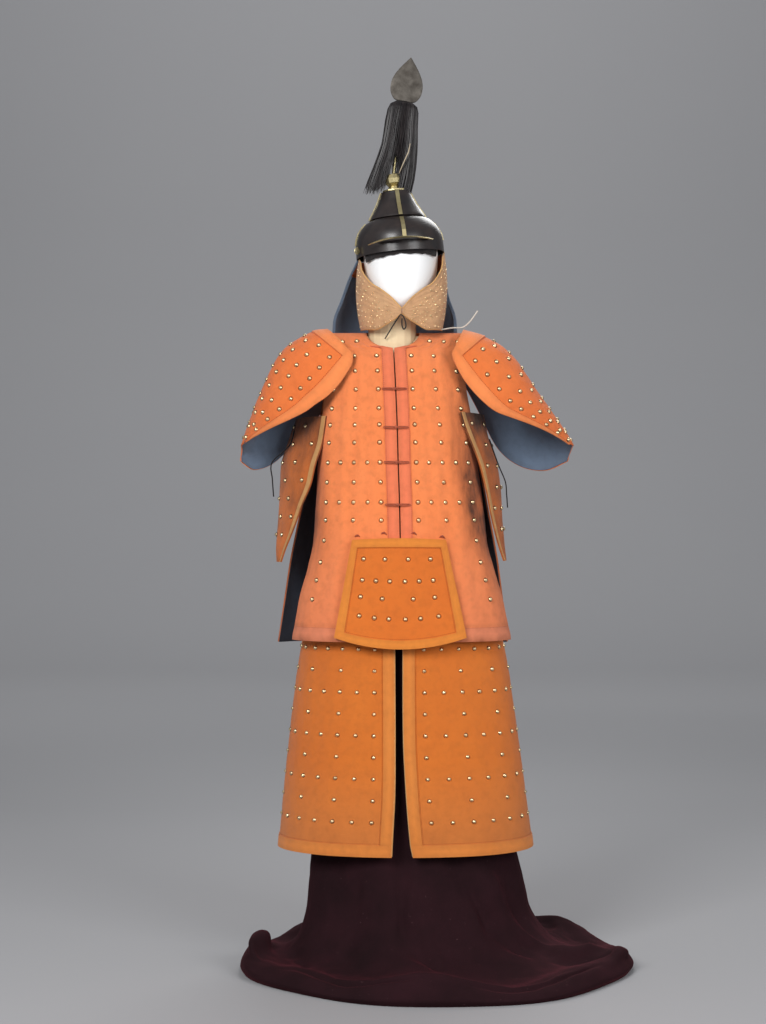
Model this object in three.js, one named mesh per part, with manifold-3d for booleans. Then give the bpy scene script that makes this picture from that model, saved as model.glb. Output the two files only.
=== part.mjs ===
// Studded banner armour standing on a limbless dress form.
// Millimetres, +Z up, the front faces -Y, +X is the viewer's right.
// The origin is on the floor, in the middle of the stand's base disc.
import * as THREE from 'three';
import Module from 'manifold-3d';
import { mergeVertices } from 'three/addons/utils/BufferGeometryUtils.js';

const GAP = 0.3; // between pieces that lie on or beside one another
const SEAM_HALF = 1.3; // from the shoulder seam's plane to each panel
const STUD_RADIUS = 5.8;
const STUD_HEIGHT = 4.6;

// paints: colour, roughness, metalness
const PAINT = {
  coat: [0xee8a52, 0.85, 0],
  placket: [0xf08c69, 0.85, 0],
  knot: [0xc9824a, 0.9, 0],
  guard: [0xf57d32, 0.85, 0],
  guardBorder: [0xf59650, 0.85, 0],
  armpit: [0xbe6e28, 0.9, 0],
  apron: [0xe48028, 0.85, 0],
  apronBorder: [0xf09632, 0.85, 0],
  skirt: [0xde7a2a, 0.85, 0],
  skirtBorder: [0xd68c3c, 0.85, 0],
  cheek: [0xb49169, 0.9, 0],
  lining: [0x5a6982, 0.9, 0],
  piping: [0xe6e0d2, 0.8, 0],
  cord: [0x1c1a1c, 0.8, 0],
  lacquer: [0x2d282d, 0.35, 0],
  brass: [0xaa9264, 0.4, 0.9],
  steel: [0x5f5f5a, 0.45, 0.9],
  horsehair: [0x232123, 0.7, 0],
  form: [0xd7c8a0, 0.9, 0],
  head: [0xf4f4f2, 0.6, 0],
  velvet: [0x281218, 0.95, 0],
  stand: [0x3a3a3c, 0.5, 0.6],
};

const V = (x, y, z) => new THREE.Vector3(x, y, z);
const mix = (a, b, t) => a + (b - a) * t;
const root = new THREE.Group();
root.name = 'banner_armour';

// A smooth value between the rows of a table, sorted by its column "at".
function along(table, at, column) {
  const last = table.length - 1;
  const slope = (k) => {
    const lo = Math.max(k - 1, 0);
    const hi = Math.min(k + 1, last);
    return (table[hi][column] - table[lo][column]) / (table[hi].at - table[lo].at);
  };
  if (at <= table[0].at) return table[0][column];
  if (at >= table[last].at) return table[last][column];
  let k = 0;
  while (at > table[k + 1].at) k += 1;
  const span = table[k + 1].at - table[k].at;
  const t = (at - table[k].at) / span;
  const t2 = t * t;
  const t3 = t2 * t;
  return (2 * t3 - 3 * t2 + 1) * table[k][column] + (t3 - 2 * t2 + t) * span * slope(k)
    + (3 * t2 - 2 * t3) * table[k + 1][column] + (t3 - t2) * span * slope(k + 1);
}

function addMesh(name, paint, geometry) {
  const [color, roughness, metalness] = PAINT[paint];
  geometry.computeVertexNormals();
  const mesh = new THREE.Mesh(
    geometry,
    new THREE.MeshStandardMaterial({ color, roughness, metalness }),
  );
  mesh.name = name;
  root.add(mesh);
  return mesh;
}

function geometryOf(points, faces) {
  const geometry = new THREE.BufferGeometry();
  const flat = new Float32Array(points.length * 3);
  points.forEach((p, k) => flat.set([p.x, p.y, p.z], k * 3));
  geometry.setAttribute('position', new THREE.BufferAttribute(flat, 3));
  geometry.setIndex(faces);
  return geometry;
}

// Outward directions at the points of a grid. Seen from outside, a row runs to the
// right and the rows follow each other upwards.
function gridNormals(grid, round) {
  const rows = grid.length;
  const cols = grid[0].length;
  const sums = grid.map((row) => row.map(() => V(0, 0, 0)));
  const lastCell = round ? cols : cols - 1;
  for (let j = 0; j < rows - 1; j += 1) {
    for (let i = 0; i < lastCell; i += 1) {
      const right = (i + 1) % cols;
      const up = grid[j + 1][right].clone().sub(grid[j][i]);
      const over = grid[j + 1][i].clone().sub(grid[j][right]);
      const face = up.cross(over);
      sums[j][i].add(face);
      sums[j][right].add(face);
      sums[j + 1][i].add(face);
      sums[j + 1][right].add(face);
    }
  }
  return sums.map((row) => row.map((sum) => sum.normalize()));
}

// Studs raised in a cell's outer face, each at its shares across and up the cell.
function studFaces(points, faces, corner, spots, sides) {
  const [p00, p10, p11, p01] = corner.map((k) => points[k]);
  const place = (u, v) => p00.clone().multiplyScalar((1 - u) * (1 - v))
    .addScaledVector(p10, u * (1 - v))
    .addScaledVector(p11, u * v)
    .addScaledVector(p01, (1 - u) * v);
  const mid = place(0.5, 0.5);
  const ex = p10.clone().add(p11).sub(p00).sub(p01).normalize();
  const ez = p11.clone().sub(p00).cross(p01.clone().sub(p10)).normalize();
  const ey = ez.clone().cross(ex);
  const flat = (k) => {
    const off = points[k].clone().sub(mid);
    return new THREE.Vector2(off.dot(ex), off.dot(ey));
  };
  const contour = corner.map(flat);
  const room = ([u, v]) => {
    const off = place(u, v).sub(mid);
    const spot = new THREE.Vector2(off.dot(ex), off.dot(ey));
    return contour.every((a, k) => {
      const side = contour[(k + 1) % 4].clone().sub(a);
      const to = spot.clone().sub(a);
      return (side.x * to.y - side.y * to.x) / side.length() > STUD_RADIUS + 0.8;
    });
  };
  const order = [...corner];
  const holes = [];
  for (const [u, v] of spots.filter(room)) {
    const centre = place(u, v);
    const ring = [];
    for (let k = 0; k < sides; k += 1) {
      const a = ((k + 0.5) * 2 * Math.PI) / sides;
      const p = centre.clone().addScaledVector(ex, STUD_RADIUS * Math.cos(a));
      points.push(p.addScaledVector(ey, STUD_RADIUS * Math.sin(a)));
      ring.push(points.length - 1);
    }
    points.push(centre.addScaledVector(ez, STUD_HEIGHT));
    const top = points.length - 1;
    for (let k = 0; k < sides; k += 1) faces.push(ring[k], ring[(k + 1) % sides], top);
    holes.push(ring.map(flat));
    order.push(...ring);
  }
  for (const [a, b, c] of THREE.ShapeUtils.triangulateShape(contour, holes)) {
    const [fa, fb, fc] = [flat(order[a]), flat(order[b]), flat(order[c])];
    const turn = fb.clone().sub(fa).cross(fc.clone().sub(fa));
    if (turn > 0) faces.push(order[a], order[b], order[c]);
    else faces.push(order[a], order[c], order[b]);
  }
}

// A cloth piece: the grid's chosen cells, from "low" to "high" above its outer face.
// "studs" lists [u, v] places, where "us" and "vs" are the grid's own columns and rows.
function cloth(name, paint, grid, low, high, options = {}) {
  const round = options.round || false;
  const inside = options.cells || (() => true);
  const { us = [], vs = [], studs = [], sides = 4 } = options;
  const spotsIn = (j, i) => studs.map(([u, v]) => [
    (u - us[i]) / (us[i + 1] - us[i]), (v - vs[j]) / (vs[j + 1] - vs[j]),
  ]).filter(([u, v]) => u > 0 && u < 1 && v > 0 && v < 1);
  const normals = gridNormals(grid, round);
  const rows = grid.length;
  const cols = grid[0].length;
  const lastCell = round ? cols : cols - 1;
  const points = [];
  const faces = [];
  const known = new Map();
  const has = (j, i) => j >= 0 && j < rows - 1
    && (round || (i >= 0 && i < lastCell)) && inside(j, (i + cols) % cols);
  const at = (level, j, i) => {
    const key = `${level} ${j} ${i % cols}`;
    if (!known.has(key)) {
      const p = grid[j][i % cols].clone();
      points.push(p.addScaledVector(normals[j][i % cols], level ? high : low));
      known.set(key, points.length - 1);
    }
    return known.get(key);
  };
  const side = (ja, ia, jb, ib) => {
    const [a1, a0] = [at(1, ja, ia), at(0, ja, ia)];
    const [b1, b0] = [at(1, jb, ib), at(0, jb, ib)];
    faces.push(a1, a0, b0, a1, b0, b1);
  };
  for (let j = 0; j < rows - 1; j += 1) {
    for (let i = 0; i < lastCell; i += 1) {
      if (!has(j, i)) continue;
      const outer = [at(1, j, i), at(1, j, i + 1), at(1, j + 1, i + 1), at(1, j + 1, i)];
      const inner = [at(0, j, i), at(0, j, i + 1), at(0, j + 1, i + 1), at(0, j + 1, i)];
      const spots = spotsIn(j, i);
      if (spots.length) studFaces(points, faces, outer, spots, sides);
      else faces.push(outer[0], outer[1], outer[2], outer[0], outer[2], outer[3]);
      faces.push(inner[0], inner[2], inner[1], inner[0], inner[3], inner[2]);
      if (!has(j - 1, i)) side(j, i, j, i + 1);
      if (!has(j, i + 1)) side(j, i + 1, j + 1, i + 1);
      if (!has(j + 1, i)) side(j + 1, i + 1, j + 1, i);
      if (!has(j, i - 1)) side(j + 1, i, j, i);
    }
  }
  return addMesh(name, paint, geometryOf(points, faces));
}

// A solid through rings of points, each counter-clockwise seen from above, with
// flat ends or, as a "loop", with its last ring joined to its first.
function ringGeometry(rings, loop = false) {
  const count = rings[0].length;
  const points = rings.flat().map((p) => p.clone());
  const faces = [];
  const last = loop ? rings.length : rings.length - 1;
  for (let j = 0; j < last; j += 1) {
    const below = j * count;
    const above = ((j + 1) % rings.length) * count;
    for (let i = 0; i < count; i += 1) {
      const n = (i + 1) % count;
      faces.push(below + i, below + n, above + n, below + i, above + n, above + i);
    }
  }
  if (!loop) {
    const top = (rings.length - 1) * count;
    for (let i = 1; i < count - 1; i += 1) {
      faces.push(0, i + 1, i);
      faces.push(top, top + i, top + i + 1);
    }
  }
  return geometryOf(points, faces);
}

function oval(cx, cy, z, a, b, count, power = 2, start = 0) {
  const ring = [];
  for (let k = 0; k < count; k += 1) {
    const t = start + (2 * Math.PI * k) / count;
    const [c, s] = [Math.cos(t), Math.sin(t)];
    const px = Math.sign(c) * Math.abs(c) ** (2 / power);
    const py = Math.sign(s) * Math.abs(s) ** (2 / power);
    ring.push(V(cx + a * px, cy + b * py, z));
  }
  return ring;
}

// A round solid from a profile of [radius, height] rows, moved by a matrix.
function turned(name, paint, profile, count, matrix, loop = false) {
  const rings = profile.map(([r, h]) => oval(0, 0, h, r, r, count));
  const geometry = ringGeometry(rings, loop);
  geometry.applyMatrix4(matrix);
  return addMesh(name, paint, geometry);
}

// A round cord through its points.
function cord(name, paint, radius, list, sides = 5, steps = 9) {
  const path = new THREE.CatmullRomCurve3(list.map(([x, y, z]) => V(x, y, z)));
  const shape = new THREE.Shape();
  for (let k = 0; k < sides; k += 1) {
    const a = (2 * Math.PI * k) / sides;
    const [x, y] = [radius * Math.cos(a), radius * Math.sin(a)];
    if (k === 0) shape.moveTo(x, y);
    else shape.lineTo(x, y);
  }
  const geometry = new THREE.ExtrudeGeometry(shape, { extrudePath: path, steps });
  return addMesh(name, paint, geometry);
}

const wasm = await Module();
wasm.setup();

function toSolid(geometry) {
  const bare = geometry.clone();
  bare.deleteAttribute('normal');
  bare.deleteAttribute('uv');
  const merged = mergeVertices(bare, 1e-4);
  return new wasm.Manifold(new wasm.Mesh({
    numProp: 3,
    vertProperties: new Float32Array(merged.attributes.position.array),
    triVerts: new Uint32Array(merged.index.array),
  }));
}

function fromSolid(solid) {
  const mesh = solid.getMesh();
  const geometry = new THREE.BufferGeometry();
  const stride = mesh.numProp;
  const flat = new Float32Array((mesh.vertProperties.length / stride) * 3);
  for (let k = 0; k < flat.length / 3; k += 1) {
    flat.set(mesh.vertProperties.subarray(k * stride, k * stride + 3), k * 3);
  }
  geometry.setAttribute('position', new THREE.BufferAttribute(flat, 3));
  geometry.setIndex(Array.from(mesh.triVerts));
  return geometry;
}

// The coat. Half width and depths of its body by height, "lean" moves its middle.
const SHOULDER = 1468; // height of the shoulder line
const ROUNDING = 90; // height over which the body closes to the shoulder line
const CORNER = 2.4; // how square its plan is
const COAT_WALL = 4.5;
const COAT = [
  { at: 735, width: 266, front: 173, back: 170, backWidth: 322, edge: 277, lean: 5 },
  { at: 850, width: 243, front: 165, back: 160, backWidth: 296, edge: 261, lean: 4 },
  { at: 960, width: 211, front: 156, back: 148, backWidth: 262, edge: 243, lean: 2 },
  { at: 1070, width: 199, front: 145, back: 136, backWidth: 238, edge: 221, lean: 0 },
  { at: 1160, width: 191, front: 136, back: 126, backWidth: 217, edge: 202, lean: -3 },
  { at: 1240, width: 185, front: 128, back: 116, backWidth: 200, edge: 186, lean: -5 },
  { at: 1340, width: 177, front: 112, back: 98, backWidth: 180, edge: 167, lean: -9 },
  { at: 1400, width: 176, front: 96, back: 84, backWidth: 177, edge: 166, lean: -12 },
  { at: 1468, width: 176, front: 78, back: 66, backWidth: 176, edge: 165, lean: -15 },
];
const SIDE = [
  { at: 735, share: 0.97 },
  { at: 1215, share: 0.97 },
  { at: 1330, share: 0.93 },
  { at: 1468, share: 0.94 },
];
const NECK_HALF = 62;
const NECK_FRONT = 41;
const NECK_BACK = 14;
const COAT_ROWS = [
  752, 782, 869, 957, 1050, 1138, 1227, 1308, 1392, 1425, 1432, 1458, 1467, 1468,
];
const COAT_SHARES = [0, 0.364, 0.56, 0.76, 0.93, 1];
const STRIP_SHARE = -0.2; // stands for the strip beside the middle in stud places
// stud rows: "each" has a stud in every column, "high" is the row at the shoulder
const STUD_ROWS = [
  { z: 847, kind: 'second' }, { z: 891, kind: 'second' }, { z: 932, kind: 'second' },
  { z: 982, kind: 'second' }, { z: 1029, kind: 'second' }, { z: 1070, kind: 'each' },
  { z: 1116, kind: 'second' }, { z: 1161, kind: 'each' }, { z: 1207, kind: 'second' },
  { z: 1248, kind: 'second' }, { z: 1286, kind: 'second' }, { z: 1330, kind: 'second' },
  { z: 1373, kind: 'second' }, { z: 1409, kind: 'second' }, { z: 1445, kind: 'high' },
];
const FRONT_COLUMNS = {
  second: [0.083, 0.463, 0.845],
  each: [0.083, 0.265, 0.463, 0.661, 0.845],
  high: [0.07, 0.46, 0.84],
};
const PLACKET_HALF = 28.5;

function closing(z) {
  const left = 1 - Math.min(Math.max((SHOULDER - z) / ROUNDING, 0), 1);
  return Math.sqrt(1 - left * left);
}

function coatDepth(x, z, sideName, grow = 0) {
  const width = along(COAT, z, sideName === 'front' ? 'width' : 'backWidth') + grow;
  const depth = (along(COAT, z, sideName) + grow) * closing(z);
  const share = Math.min(Math.abs(x) / width, 1) ** CORNER;
  return depth * (1 - share) ** (1 / CORNER);
}

function neckEdge(z, drop) {
  const share = (SHOULDER - z) / drop;
  return share >= 1 ? 0 : NECK_HALF * Math.sqrt(1 - share * share);
}

function coatFront(hand) {
  return COAT_ROWS.map((z) => {
    const inner = Math.max(neckEdge(z, NECK_FRONT), 1.5);
    const strip = inner + PLACKET_HALF - 1.5;
    const edge = along(COAT, z, 'width') * along(SIDE, z, 'share');
    const lean = along(COAT, z, 'lean');
    const across = [inner, ...COAT_SHARES.map((f) => mix(strip, edge, f))];
    const row = across.map((x) => V(lean + hand * x, -coatDepth(x, z, 'front') - SEAM_HALF, z));
    return hand > 0 ? row : row.reverse();
  });
}

// The apron hides the studs under it, so the coat has none there.
const UNDER_APRON = { top: 1000, share: 0.6 };
const frontStuds = STUD_ROWS.flatMap(({ z, kind }) => FRONT_COLUMNS[kind]
  .filter((u) => z > UNDER_APRON.top || u > UNDER_APRON.share)
  .map((u) => [u, z]));
const PLACKET_TOP = 8; // the last row of cells that the placket covers

for (const [hand, word] of [[-1, 'left'], [1, 'right']]) {
  const grid = coatFront(hand);
  const us = [STRIP_SHARE, ...COAT_SHARES];
  if (hand < 0) us.reverse();
  const stripCell = hand > 0 ? 0 : COAT_SHARES.length - 1;
  cloth(`coat_front_${word}`, 'coat', grid, -COAT_WALL, 0, {
    us, vs: COAT_ROWS, studs: frontStuds, sides: 6,
  });
  cloth(`placket_${word}`, 'placket', grid, GAP, GAP + 2, {
    cells: (j, i) => i === stripCell && j <= PLACKET_TOP,
  });
}

// The back panel: its middle cell holds a column of studs and opens at the neck.
const BACK_SHARES = [0.12, 0.46, 0.8, 0.93, 1];
const BACK_COLUMNS = {
  second: [0, 0.375, 0.715],
  each: [0, 0.205, 0.375, 0.545, 0.715, 0.865],
  high: [0.3, 0.6, 0.865],
};
const BACK_HEM = 737;
const BACK_SHIFT = -0.17; // the panel sits a little to the left, as a share of its edge
const BACK_NECK_ROW = 10; // the first row of cells that is open at the neck
const LINING_GAP = 0.5;
const LINING_WALL = 1.5;

function backPoint(share, z) {
  const edge = along(COAT, z, 'edge');
  const lean = along(COAT, z, 'lean') + BACK_SHIFT * (edge - 165);
  const start = Math.max(BACK_SHARES[0] * edge, neckEdge(z, NECK_BACK));
  const part = (Math.abs(share) - BACK_SHARES[0]) / (1 - BACK_SHARES[0]);
  const x = Math.sign(share) * mix(start, edge, part);
  return V(lean + x, SEAM_HALF + coatDepth(x, z, 'back'), z);
}
const backUs = [...BACK_SHARES.slice().reverse(), ...BACK_SHARES.map((f) => -f)];
const backMiddle = BACK_SHARES.length - 1;
const backGrid = COAT_ROWS.map((z, j) => backUs.map((u) => backPoint(u, j === 0 ? BACK_HEM : z)));
const backStuds = STUD_ROWS.flatMap(({ z, kind }) => BACK_COLUMNS[kind]
  .flatMap((u) => (u === 0 ? [[0, z]] : [[u, z], [-u, z]])));
const backCell = (j, i) => i !== backMiddle || j < BACK_NECK_ROW;
cloth('coat_back', 'coat', backGrid, -COAT_WALL, 0, {
  cells: backCell, us: backUs, vs: COAT_ROWS, studs: backStuds,
});
const backInside = -COAT_WALL - LINING_GAP;
cloth('coat_back_lining', 'lining', backGrid, backInside - LINING_WALL, backInside, {
  cells: (j, i) => backCell(j, i) && j < 9,
});

// Knotted buttons with their loops, across the placket.
const BUTTONS = [
  { name: 'button_1', x: -12, z: 1330, out: 7.2 },
  { name: 'button_2', x: -8, z: 1241, out: 8 },
  { name: 'button_3', x: -7, z: 1161, out: 8.2 },
  { name: 'button_4', x: -4, z: 1064, out: 8.1 },
];
const BUTTON_PROFILE = [
  [0.8, -26], [3, -24], [2.6, -9], [3, -6.5], [6, -3.5], [6, 3.5], [3, 6.5], [2.6, 9],
  [3, 24], [0.8, 26],
];
for (const { name, x, z, out } of BUTTONS) {
  const y = -coatDepth(x, z, 'front') - SEAM_HALF - out;
  const place = new THREE.Matrix4().makeTranslation(x, y, z);
  place.multiply(new THREE.Matrix4().makeRotationY(Math.PI / 2));
  turned(name, 'knot', BUTTON_PROFILE, 6, place);
}

// The groin apron, over the coat's lower front.
const APRON_WALL = 4.5;
const APRON_OUT = 8.2; // its outer face in front of the coat's
const APRON = [
  { at: 0, z: 737, half: 150, sag: 25 },
  { at: 1, z: 988, half: 106, sag: -4 },
];
const APRON_HEIGHTS = [0, 0.08, 0.36, 0.53, 0.71, 0.92, 1];
const APRON_ACROSS = [-1, -0.865, -0.565, -0.05, 0.48, 0.865, 1];
const APRON_STUDS = [
  { v: 0.81, us: [-0.71, -0.285, 0.177, 0.62] },
  { v: 0.61, us: [-0.69, -0.44, -0.185, 0.096, 0.358, 0.617] },
  { v: 0.45, us: [-0.69, -0.31, 0.229, 0.607] },
  { v: 0.27, us: [-0.674, -0.425, -0.188, 0.084, 0.333, 0.632] },
];
const apronStuds = APRON_STUDS.flatMap(({ v, us }) => us.map((u) => [u, v]));
const apronGrid = APRON_HEIGHTS.map((v) => APRON_ACROSS.map((u) => {
  const half = along(APRON, v, 'half');
  const z = along(APRON, v, 'z') + along(APRON, v, 'sag') * u * u;
  const lean = along(COAT, z, 'lean') - 3;
  return V(lean + u * half, -coatDepth(u * half, z, 'front', APRON_OUT) - SEAM_HALF, z);
}));
const apronEdge = (j, i) => i === 0 || i === 5 || j === 0 || j === 5;
cloth('groin_apron', 'apron', apronGrid, -APRON_WALL, 0, {
  us: APRON_ACROSS, vs: APRON_HEIGHTS, studs: apronStuds, sides: 6,
});
cloth('groin_apron_border', 'apronBorder', apronGrid, GAP, GAP + 2, { cells: apronEdge });

// The skirt: two panels that wrap half way round each, with a slit between them at
// the front and at the back.
const SKIRT_WALL = 4.5;
// the slit's edges from the skirt's middle: the right panel crosses it a little
const SLIT = [
  { at: 268, left: 33, right: 15 },
  { at: 300, left: 31, right: 9.5 },
  { at: 410, left: 23.5, right: 2 },
  { at: 532, left: 21, right: -2.3 },
  { at: 737, left: 19, right: -0.6 },
  { at: 1030, left: 15, right: 2 },
];
const SKIRT_BORDER = 27;
const SKIRT = [
  { at: 268, a: 298, b: 192, cx: 15 },
  { at: 450, a: 277, b: 178, cx: 12 },
  { at: 600, a: 259, b: 165, cx: 10 },
  { at: 737, a: 238, b: 150, cx: 8 },
  { at: 900, a: 200, b: 134, cx: 5 },
  { at: 1030, a: 156, b: 104, cx: 2 },
];
const SKIRT_ROWS = [268, 295, 393, 491, 589, 687, 758, 890, 1030];
const SKIRT_PITCH = 48.7; // between its rows of studs
const SKIRT_LOWEST = 345;
const SKIRT_STUD_ROWS = 9;
const SKIRT_BORDER_ROWS = 6;
const SKIRT_CELLS = 14; // stud columns a panel
const SKIRT_CORNER = 2.15;

function skirtPoint(angle, z, grow = 0) {
  const a = along(SKIRT, z, 'a') + grow;
  const b = along(SKIRT, z, 'b') + grow;
  const [c, s] = [Math.cos(angle), Math.sin(angle)];
  const power = 2 / SKIRT_CORNER;
  const x = Math.sign(c) * Math.abs(c) ** power;
  const y = Math.sign(s) * Math.abs(s) ** power;
  return V(along(SKIRT, z, 'cx') + a * x, b * y, z);
}

// Angles from the front to the back at even steps round the hem, on the right side.
function evenAngles(from, to, count) {
  const fine = 400;
  const sums = [0];
  let last = skirtPoint(from, 500);
  for (let k = 1; k <= fine; k += 1) {
    const next = skirtPoint(mix(from, to, k / fine), 500);
    sums.push(sums[k - 1] + next.distanceTo(last));
    last = next;
  }
  const angles = [];
  let k = 0;
  for (let n = 0; n <= count; n += 1) {
    const goal = (sums[fine] * n) / count;
    while (k < fine && sums[k] < goal) k += 1;
    angles.push(mix(from, to, k / fine));
  }
  return angles;
}

function slitAngle(z, off) {
  const share = Math.min(Math.abs(off) / along(SKIRT, z, 'a'), 1);
  return Math.sign(off) * Math.asin(share ** (SKIRT_CORNER / 2));
}
function skirtRow(z, word) {
  const off = along(SLIT, z, word);
  const from = -Math.PI / 2 + slitAngle(z, off);
  const fromInner = -Math.PI / 2 + slitAngle(z, off + SKIRT_BORDER);
  return [from, ...evenAngles(fromInner, -fromInner, SKIRT_CELLS), -from];
}
const skirtStuds = [];
for (let n = 0; n < SKIRT_STUD_ROWS; n += 1) {
  for (let k = 1; k <= SKIRT_CELLS; k += n % 2 === 0 ? 1 : 2) {
    skirtStuds.push([k + 0.5, SKIRT_LOWEST + n * SKIRT_PITCH]);
  }
}
for (const [hand, word] of [[-1, 'left'], [1, 'right']]) {
  const grid = SKIRT_ROWS.map((z) => {
    const row = skirtRow(z, word).map((angle) => {
      const p = skirtPoint(angle, z);
      const cx = along(SKIRT, z, 'cx');
      return V(cx + hand * (p.x - cx), p.y, z);
    });
    return hand > 0 ? row : row.reverse();
  });
  const us = grid[0].map((p, k) => (hand > 0 ? k : SKIRT_CELLS + 2 - k));
  const edgeCell = (j, i) => i === 0 || i === SKIRT_CELLS + 1 || j === 0;
  cloth(`skirt_${word}`, 'skirt', grid, -SKIRT_WALL, 0, {
    us, vs: SKIRT_ROWS, studs: skirtStuds,
  });
  cloth(`skirt_${word}_border`, 'skirtBorder', grid, GAP, GAP + 2, {
    cells: (j, i) => edgeCell(j, i) && j < SKIRT_BORDER_ROWS,
  });
}

// The waistband that carries the skirt, hidden by the coat.
const WAIST_COUNT = 20;
const band = [1030.3, 1068].map((z) => {
  const ring = [];
  for (let k = 0; k < WAIST_COUNT; k += 1) {
    ring.push(skirtPoint((2 * Math.PI * k) / WAIST_COUNT, z));
  }
  return ring;
});
cloth('waistband', 'lining', band, -4, 0, { round: true });

// Shoulder guards: leaf-shaped saddles. Each row runs from its front edge F over the
// ridge R to its back edge B.
const GUARD_WALL = 5;
const GUARD_LIFT = 0.6; // of the border, over the sharper bends
const GUARD_LEFT = [
  { fx: -107, fy: -100, fz: 1412, rx: -169, rz: 1475.2, bx: -112, by: 104, bz: 1404 },
  { fx: -109, fy: -104, fz: 1390, rx: -204, rz: 1470, bx: -125, by: 110, bz: 1378 },
  { fx: -122, fy: -106, fz: 1366, rx: -240, rz: 1452, bx: -145, by: 113, bz: 1345 },
  { fx: -141, fy: -106, fz: 1339, rx: -270, rz: 1431, bx: -172, by: 113, bz: 1305 },
  { fx: -165, fy: -104, fz: 1315, rx: -289, rz: 1406, bx: -205, by: 109, bz: 1262 },
  { fx: -190, fy: -100, fz: 1298, rx: -304, rz: 1376, bx: -240, by: 103, bz: 1222 },
  { fx: -219, fy: -94, fz: 1278, rx: -319, rz: 1343, bx: -272, by: 95, bz: 1190 },
  { fx: -255, fy: -84, fz: 1261, rx: -333, rz: 1310, bx: -300, by: 84, bz: 1165 },
  { fx: -292, fy: -70, fz: 1245, rx: -346, rz: 1276, bx: -326, by: 70, bz: 1152 },
  { fx: -328, fy: -50, fz: 1228, rx: -359, rz: 1242, bx: -350, by: 55, bz: 1150 },
  { fx: -357, fy: -26, fz: 1214, rx: -372, rz: 1203, bx: -375, by: 38, bz: 1168 },
];
const GUARD_RIGHT = [
  { fx: 121, fy: -100, fz: 1414, rx: 151, rz: 1473.8, bx: 118, by: 104, bz: 1408 },
  { fx: 127, fy: -104, fz: 1393, rx: 202, rz: 1459, bx: 138, by: 111, bz: 1385 },
  { fx: 145, fy: -106, fz: 1358, rx: 243, rz: 1437, bx: 160, by: 114, bz: 1350 },
  { fx: 169, fy: -106, fz: 1326, rx: 275, rz: 1405, bx: 183, by: 115, bz: 1308 },
  { fx: 197, fy: -104, fz: 1298, rx: 303, rz: 1366, bx: 205, by: 112, bz: 1264 },
  { fx: 223, fy: -100, fz: 1279, rx: 327, rz: 1330, bx: 224, by: 108, bz: 1224 },
  { fx: 253, fy: -92, fz: 1268, rx: 346, rz: 1303, bx: 245, by: 100, bz: 1192 },
  { fx: 292, fy: -80, fz: 1255, rx: 363, rz: 1278, bx: 275, by: 91, bz: 1166 },
  { fx: 330, fy: -64, fz: 1241, rx: 381, rz: 1253, bx: 312, by: 78, bz: 1150 },
  { fx: 363, fy: -45, fz: 1226, rx: 397, rz: 1229, bx: 355, by: 60, bz: 1148 },
  { fx: 396, fy: -20, fz: 1208, rx: 411, rz: 1204, bx: 400, by: 38, bz: 1168 },
];
const GUARD_ACROSS = [-1, -0.86, -0.65, -0.43, -0.21, 0, 0.21, 0.43, 0.65, 0.86, 1];
const GUARD_BEND = 0.48 * Math.PI;

function guardPoint(row, w) {
  const bend = Math.abs(w) * GUARD_BEND;
  const out = Math.sin(bend) / Math.sin(GUARD_BEND);
  const down = (1 - Math.cos(bend)) / (1 - Math.cos(GUARD_BEND));
  const edge = w < 0
    ? V(row.fx, row.fy, row.fz)
    : V(row.bx, row.by, row.bz);
  return V(mix(row.rx, edge.x, down), edge.y * out, mix(row.rz, edge.z, down));
}

for (const [hand, word, table] of [[-1, 'left', GUARD_LEFT], [1, 'right', GUARD_RIGHT]]) {
  const order = hand > 0 ? table : [...table].reverse();
  const grid = GUARD_ACROSS.map((w) => order.map((row) => guardPoint(row, w)));
  const edgeCell = (j, i) => j === 0 || j === 9 || i === (hand > 0 ? 0 : 9);
  const studs = [];
  for (let j = 1; j < 9; j += 1) {
    for (let i = 0; i < 9; i += 1) studs.push([j % 2 === 0 ? i + 0.5 : i + 0.75, j + 0.5]);
  }
  const us = order.map((row, k) => (hand > 0 ? k - 1 : 9 - k));
  cloth(`shoulder_guard_${word}`, 'guard', grid, -GUARD_WALL, 0, {
    us, vs: GUARD_ACROSS.map((w, k) => k), studs,
  });
  cloth(`shoulder_guard_${word}_border`, 'guardBorder', grid, GUARD_LIFT, GUARD_LIFT + 2, {
    cells: edgeCell,
  });
}

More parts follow.
